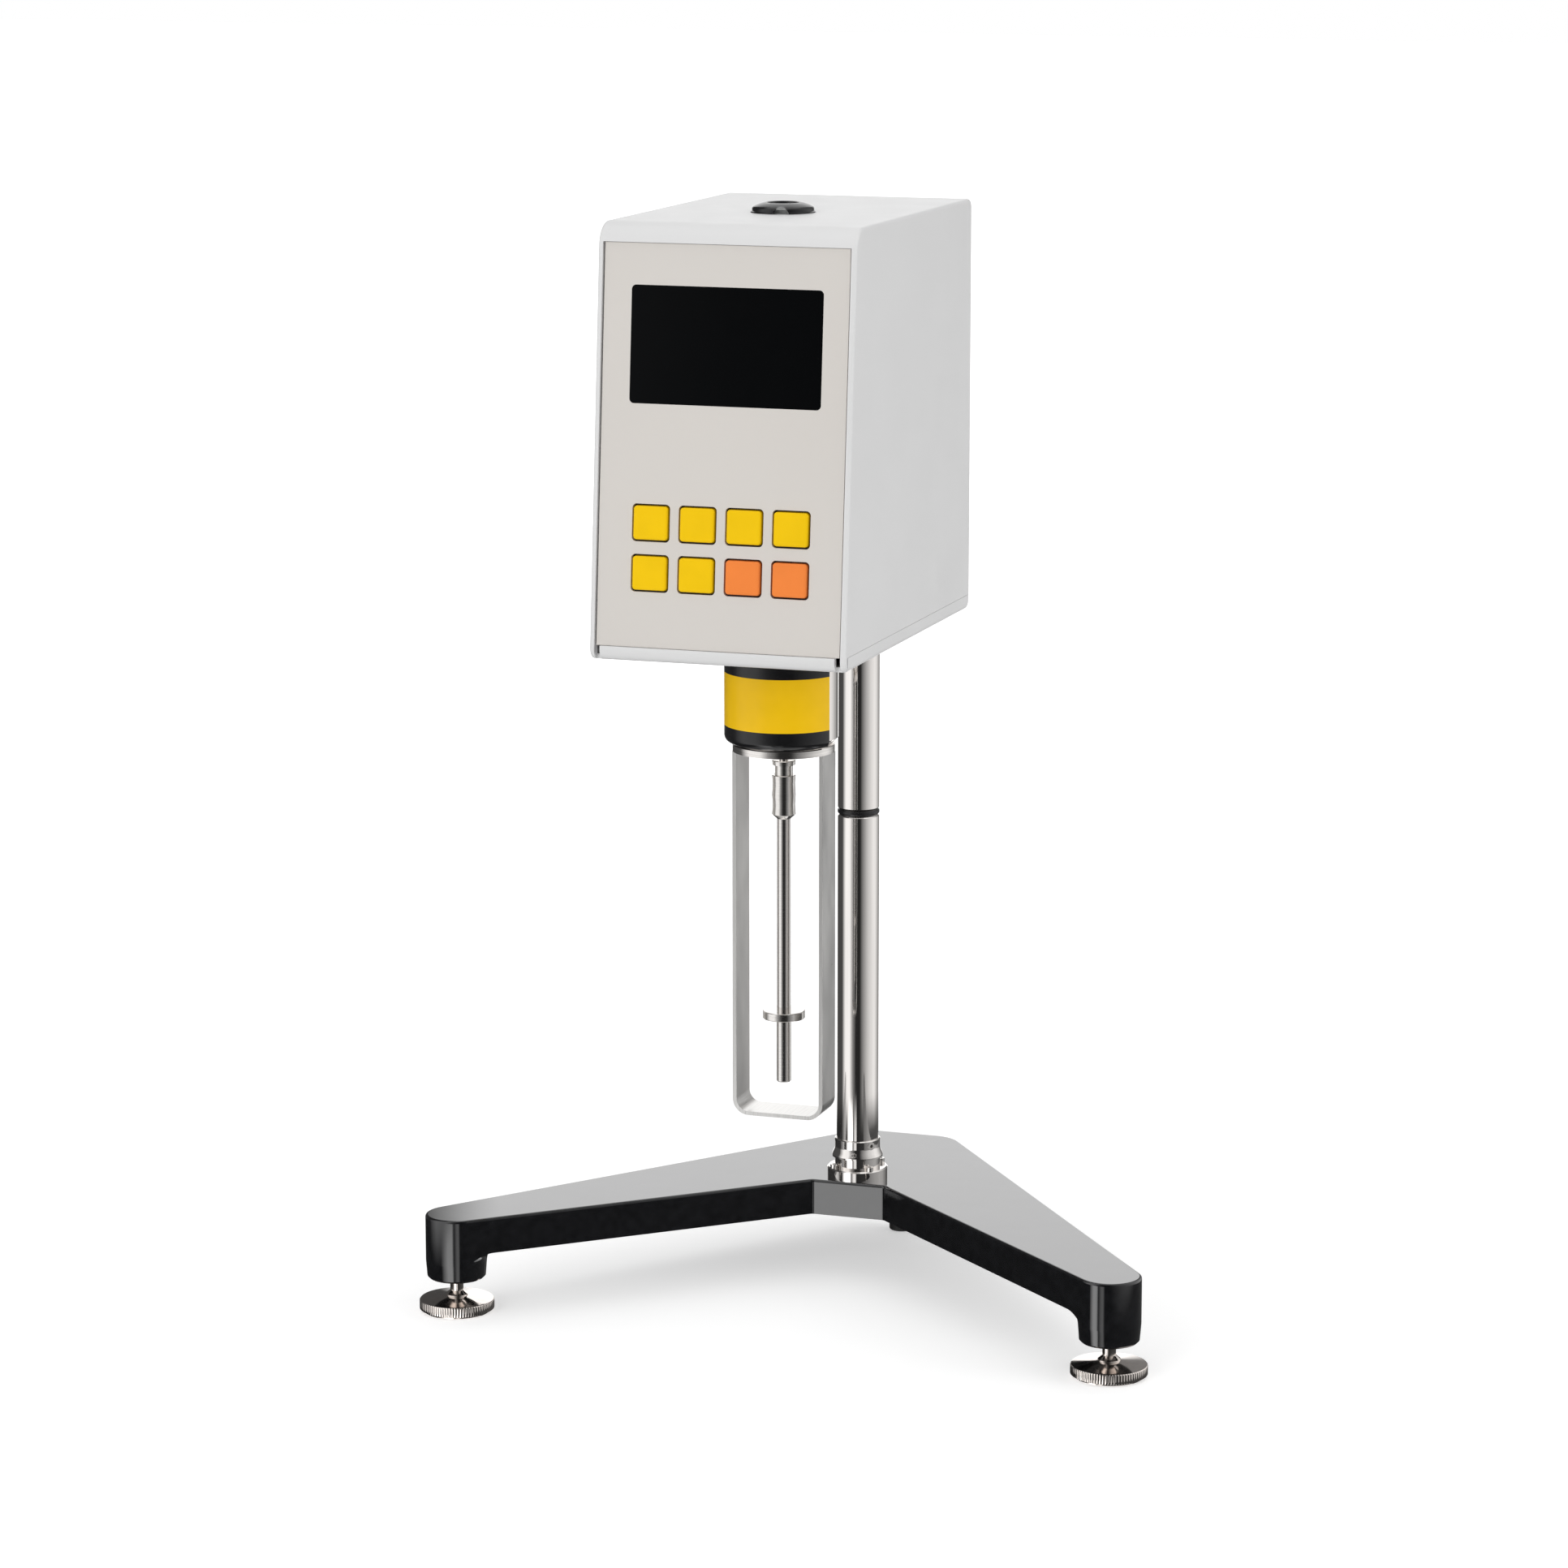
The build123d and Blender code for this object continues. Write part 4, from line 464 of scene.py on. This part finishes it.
def foot_profile(rim_radius, top):
    return [
        (0, 0),
        (rim_radius - UNDERCUT - 0.3 * MM, 0),
        (rim_radius - UNDERCUT, 0.3 * MM),
        (rim_radius - UNDERCUT, RIM_BASE - 0.1 * MM),
        (rim_radius - 0.6 * MM, RIM_BASE),
        (rim_radius, RIM_BASE + 0.3 * MM),
        (rim_radius, RIM_TOP - 0.6 * MM),
        (rim_radius - 0.4 * MM, RIM_TOP - 0.2 * MM),
        (rim_radius - 1.2 * MM, RIM_TOP),
        (SHOULDER_RADIUS + 0.6 * MM, 7.3 * MM),
        (SHOULDER_RADIUS, 7.5 * MM),
        (SHOULDER_RADIUS, 8.3 * MM),
        (STEM_RADIUS, 10.0 * MM),
        (STEM_RADIUS, 13.5 * MM),
        (SHOULDER_RADIUS, 15.2 * MM),
        (SHOULDER_RADIUS, 16.0 * MM),
        (SHOULDER_RADIUS - 0.3 * MM, 16.2 * MM),
        (STEM_RADIUS, 16.2 * MM),
        (STEM_RADIUS, top),
        (0, top),
    ]


def knurled(rim_radius):
    """The change of shape that cuts straight grooves into the rim."""

    def knurl(angle, radius, height):
        on_rim = radius > rim_radius - 0.1 * MM
        groove = KNURL_DEPTH * (0.5 + 0.5 * cos(KNURLS * angle)) if on_rim else 0
        return radius - groove, height

    return knurl


for side in ("left", "right"):
    low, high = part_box(f"{side}_foot")
    rim_radius = (high[0] - low[0]) / 2
    foot_mesh = lathe_mesh(
        f"{side}_foot_turned",
        foot_profile(rim_radius, high[2]),
        middle_of(f"{side}_foot"),
        segments=KNURLS * STEPS_PER_KNURL,
        shape=knurled(rim_radius),
    )
    add_piece(
        f"{side}_foot_turned", foot_mesh, foot_nickel, f"{side}_leveller", f"{side}_foot"
    )
    print(side, "foot: rim radius", round(rim_radius / MM, 1), "mm")

# %% [markdown]
# ## Coupling
# The nut that joins the spindle to the measuring shaft is gripped with the fingers. Polished steel shows
# a shallow form by what it mirrors: the bands lean in and out by a few degrees, so that one band shows
# the dark surroundings and the next one the light. Bands in the finish would look the same from every
# side, so they are in the profile.

# %% Coupling
low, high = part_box("coupling_nut")
foot, top = low[2], high[2]
grip = (high[0] - low[0]) / 2
waist = grip - 0.3 * MM
neck = 4.15 * MM
coupling_profile = [
    (0, foot),
    (3.2 * MM, foot),
    (grip - 0.2 * MM, foot + 1.8 * MM),
    (grip, foot + 2.1 * MM),
    (waist, foot + 6.4 * MM),
    (grip, foot + 11.0 * MM),
    (waist, foot + 16.3 * MM),
    (grip, foot + 20.0 * MM),
    (grip - 0.2 * MM, foot + 20.2 * MM),
    (neck, foot + 20.3 * MM),
    (neck, top - 2.4 * MM),
    (grip - 0.2 * MM, top - 2.2 * MM),
    (grip, top - 0.3 * MM),
    (grip - 0.3 * MM, top),
    (2.0 * MM, top),
]
coupling_mesh = lathe_mesh("coupling_turned", coupling_profile, middle_of("coupling_nut"))
add_piece("coupling_turned", coupling_mesh, steel, "rotor", "coupling_nut")
print("coupling: radius", round(grip / MM, 2), "mm, height", round((top - foot) / MM, 1), "mm")

# %% [markdown]
# ## Bubble level
# The cover of the level is a low moulded dome with an upright rim and an arched opening at the front.
# The arch could be cut with a boolean, which leaves ragged shading on a thin dome. Instead, the points
# of the dome that would lie inside the arch are lifted to its curve while the dome is swept.

# %% Bubble level
ARCH_RADIUS = 3.6 * MM
ARCH_RISE = 0.8
ARCH_DIRECTION = radians(-90 + 14)
EYE_RADIUS = 6.65 * MM
low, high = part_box("level_bezel")
foot, top = low[2], high[2]
dome_radius = (high[0] - low[0]) / 2


def arched(angle, radius, height):
    across = radius * sin(angle - ARCH_DIRECTION)
    ahead = radius * cos(angle - ARCH_DIRECTION)
    if ahead > 0 and abs(across) < ARCH_RADIUS:
        height = max(height, foot + sqrt(ARCH_RADIUS**2 - across**2) * ARCH_RISE)
    return radius, height


dome_profile = [
    (EYE_RADIUS, foot),
    (dome_radius, foot),
    (dome_radius - 0.2 * MM, foot + 0.4 * MM),
    (dome_radius - 0.7 * MM, foot + 0.7 * MM),
    (dome_radius - 0.8 * MM, foot + 1.9 * MM),
    (dome_radius - 1.1 * MM, foot + 2.4 * MM),
    (dome_radius - 1.8 * MM, foot + 2.8 * MM),
    (dome_radius - 3.4 * MM, foot + 3.5 * MM),
    (dome_radius - 5.4 * MM, foot + 4.1 * MM),
    (EYE_RADIUS + 0.9 * MM, top),
    (EYE_RADIUS + 0.3 * MM, top - 0.2 * MM),
    (EYE_RADIUS, top - 0.8 * MM),
    (EYE_RADIUS, foot),
]
dome_mesh = lathe_mesh("level_dome", dome_profile, middle_of("level_bezel"), segments=360, shape=arched)
add_piece("level_dome", dome_mesh, collar_black, "head", "level_bezel")
print("level: dome radius", round(dome_radius / MM, 1), "mm")

# %% [markdown]
# ## The camera
# The upright edges of the head hardly lean in the photograph, so it was taken from far off with a long
# lens. The camera could be placed by eye, but a model of it was fitted to the edges of the head, column
# and base instead, and gives the direction, the distance and the lens.

# %% Camera
CAMERA_PLACE = (0.70292, -2.15443, 0.69934)
CAMERA_DOWN = 11.2191
CAMERA_ROUND = 18.4689
camera_data = bpy.data.cameras.new("camera")
camera_data.lens = 115.05
camera_data.sensor_width = 36.0
camera = bpy.data.objects.new("camera", camera_data)
camera.location = CAMERA_PLACE
camera.rotation_euler = (radians(90 - CAMERA_DOWN), 0, radians(CAMERA_ROUND))
bpy.context.scene.collection.objects.link(camera)
bpy.context.scene.camera = camera
print("camera at", tuple(round(value, 3) for value in camera.location))

# %% [markdown]
# ## The floor
# The object stands on a pale table that the camera should see as white, with the shadow kept. More light
# would wash out the object. So the floor glows where it is looked at, and lights nothing: a little near
# the object and fully further off, so that the shadow fades out into white.

# %% The floor
FLOOR_SIZE = 24.0
SHADOW_REACH = (0.35, 1.6)
NEAR_GLOW = 0.42


def seen_background(finish):
    """1 for the rays that should meet a white background: camera, glossy and transmission rays."""
    direct = finish.node("ShaderNodeLightPath", output="Is Camera Ray")
    glossy = finish.node("ShaderNodeLightPath", output="Is Glossy Ray")
    through = finish.node("ShaderNodeLightPath", output="Is Transmission Ray")
    return finish.node("ShaderNodeMath", {"operation": "MAXIMUM"}, {0: direct, 1: glossy + through})


floor_mesh = bpy.data.meshes.new("floor")
half = FLOOR_SIZE / 2
floor_corners = [(-half, -half, 0), (half, -half, 0), (half, half, 0), (-half, half, 0)]
floor_mesh.from_pydata(floor_corners, [], [(0, 1, 2, 3)])
floor = bpy.data.objects.new("floor", floor_mesh)
floor.visible_glossy = False
bpy.context.scene.collection.objects.link(floor)

floor_paint = Finish("floor_paint", Base_Color=(0.80, 0.80, 0.80), Roughness=0.9)
floor_paint.set("Specular IOR Level", 0.1)
floor_paint.set("Emission Strength", 1.0)
distance = floor_paint.node(
    "ShaderNodeVectorMath", {"operation": "LENGTH"}, {0: floor_paint.place()}, output="Value"
)
whiteness = floor_paint.node(
    "ShaderNodeMapRange",
    inputs={
        "Value": distance,
        "From Min": SHADOW_REACH[0],
        "From Max": SHADOW_REACH[1],
        "To Min": NEAR_GLOW,
        "To Max": 1.0,
    },
)
glow = seen_background(floor_paint) * whiteness
grey_glow = floor_paint.node("ShaderNodeCombineXYZ", inputs={0: glow, 1: glow, 2: glow})
floor_paint.set("Emission Color", grey_glow)
floor_mesh.materials.append(floor_paint.material)
print("floor:", FLOOR_SIZE, "m square, white from", SHADOW_REACH[1], "m on")

# %% [markdown]
# ## The surround and the lamps
# A product studio lights a white object from large soft boxes: one in front, one at the right for the
# shaded side, and a weak one above. The world fills the shadows at a lower strength than the white that
# the camera sees. The lamps are left out of reflections, because metal and gloss get their reflections
# from the screen in the next step.

# %% The surround and the lamps
FILL_STRENGTH = 0.62
LAMP_TARGET = Vector((0, 0, 0.3))

world = bpy.data.worlds.new("surround")
world.use_nodes = True
bpy.context.scene.world = world
surround = Graph(world.node_tree)
direct = surround.node("ShaderNodeLightPath", output="Is Camera Ray")
mirrored = surround.node("ShaderNodeLightPath", output="Is Glossy Ray")
seen = surround.node("ShaderNodeMath", {"operation": "MAXIMUM"}, {0: direct, 1: mirrored})
strength = surround.node(
    "ShaderNodeMix", {"data_type": "FLOAT"}, {0: seen, 2: FILL_STRENGTH, 3: 1.0}, output=0
)
background = world.node_tree.nodes["Background"]
surround.connect(background.inputs["Color"], (1, 1, 1))
surround.connect(background.inputs["Strength"], strength)


def lamp(name, power, size, location):
    data = bpy.data.lights.new(name, "AREA")
    data.energy = power
    data.shape = "RECTANGLE"
    data.size, data.size_y = size
    soft_box = bpy.data.objects.new(name, data)
    soft_box.location = location
    soft_box.rotation_euler = (LAMP_TARGET - Vector(location)).to_track_quat("-Z", "Y").to_euler()
    soft_box.visible_glossy = False
    bpy.context.scene.collection.objects.link(soft_box)
    print(name, power, "W")


lamp("front_lamp", 24.0, (1.6, 1.6), (-0.7, -2.8, 1.2))
lamp("right_lamp", 13.0, (1.4, 1.6), (2.6, 0.1, 1.0))
lamp("top_lamp", 8.0, (2.0, 2.0), (0.0, 0.2, 2.6))

# %% [markdown]
# ## What polished metal reflects
# Polished metal has no colour of its own, so a product studio stands light and dark panels round it. They
# could be separate boards, but the curved column would show each board's edge. Here they are one round
# screen that only reflections see. Its brightness changes with the angle from the camera's direction,
# positive to the right: the column squeezes that whole pattern into its width and shows it as stripes.
#
# The screen goes on below the table, where the upright faces of the casting look. There it is dark, so
# that the enamel stays black, with one panel for the face between the arms and one for the bosses.

# %% What polished metal reflects
SCREEN_RADIUS = 0.55
SCREEN_LOW, SCREEN_HIGH = -0.6, 1.3
TABLE_FADE = (-0.075, -0.055)
SCREEN_PATTERN = (
    (-180, 1.25),
    (-157, 1.25),
    (-152, 0.06),
    (-95, 0.07),
    (-72, 1.0),
    (-46, 1.0),
    (-30, 0.28),
    (-12, 0.02),
    (10, 0.02),
    (28, 0.26),
    (60, 0.65),
    (92, 0.9),
    (108, 0.85),
    (145, 0.16),
    (156, 0.2),
    (160, 1.25),
    (180, 1.25),
)
TABLE_PATTERN = (
    (-180, 0.02),
    (-60, 0.02),
    (-42, 2.4),
    (-30, 2.4),
    (-24, 0.02),
    (-14, 0.9),
    (-8, 0.9),
    (-4, 0.02),
    (180, 0.1),
)
print("patterns:", len(SCREEN_PATTERN), "stops above the table and", len(TABLE_PATTERN), "below it")

# %% [markdown]
# The screen is an open cylinder round the column, turned so that its own x axis points at the camera. It
# stays where it is when the view changes, as a studio's boards do.

# %% The screen
SCREEN_SEGMENTS = 96
screen_middle = (SCREEN_LOW + SCREEN_HIGH) / 2
column_place = middle_of("lower_column")
wall = bmesh.new()
bmesh.ops.create_cone(
    wall,
    cap_ends=False,
    segments=SCREEN_SEGMENTS,
    radius1=SCREEN_RADIUS,
    radius2=SCREEN_RADIUS,
    depth=SCREEN_HIGH - SCREEN_LOW,
)
screen_mesh = bpy.data.meshes.new("reflection_screen")
wall.to_mesh(screen_mesh)
wall.free()
screen = bpy.data.objects.new("reflection_screen", screen_mesh)
screen.location = (column_place.x, column_place.y, screen_middle)
camera_angle = atan2(camera.location.y - column_place.y, camera.location.x - column_place.x)
screen.rotation_euler = (0, 0, camera_angle)
screen.visible_camera = False
screen.visible_diffuse = False
screen.visible_transmission = False
screen.visible_shadow = False
bpy.context.scene.collection.objects.link(screen)
print("screen:", SCREEN_RADIUS, "m radius, turned by", round(degrees(camera_angle), 1), "degrees")

# %% [markdown]
# Its brightness comes from the angle round the screen, through one ramp for each pattern, and the height
# chooses between the two.

# %% The screen's light
screen_paint = Finish("screen_paint", Base_Color=(0, 0, 0), Roughness=1.0)
screen_paint.set("Specular IOR Level", 0.0)
screen_paint.set("Emission Strength", 1.0)
ahead, across, rise = [
    screen_paint.node("ShaderNodeSeparateXYZ", inputs={0: screen_paint.place()}, output=axis)
    for axis in ("X", "Y", "Z")
]
turn = across.maths("ARCTAN2", across, ahead) * (0.5 / pi) + 0.5


def brightness_round(pattern):
    """A ramp of grey from (degrees, brightness) stops."""
    stops = [((angle + 180) / 360, (level, level, level)) for angle, level in pattern]
    return screen_paint.node("ShaderNodeValToRGB", {"stops": stops}, {"Fac": turn})


above_table = screen_paint.node(
    "ShaderNodeMapRange",
    inputs={"Value": rise + screen_middle, "From Min": TABLE_FADE[0], "From Max": TABLE_FADE[1]},
)
below, above = brightness_round(TABLE_PATTERN), brightness_round(SCREEN_PATTERN)
light = screen_paint.node(
    "ShaderNodeMix", {"data_type": "RGBA"}, {"Factor": above_table, 6: below, 7: above}, output=2
)
screen_paint.set("Emission Color", light)
screen_mesh.materials.append(screen_paint.material)
print("screen paint:", len(screen_paint.tree.nodes), "nodes")

# %% [markdown]
# ## Closing lines
# The Standard view shows colours as they are written; a filmic one would dull the white and the yellow.

# %% Closing lines
bpy.context.scene.view_settings.view_transform = "Standard"
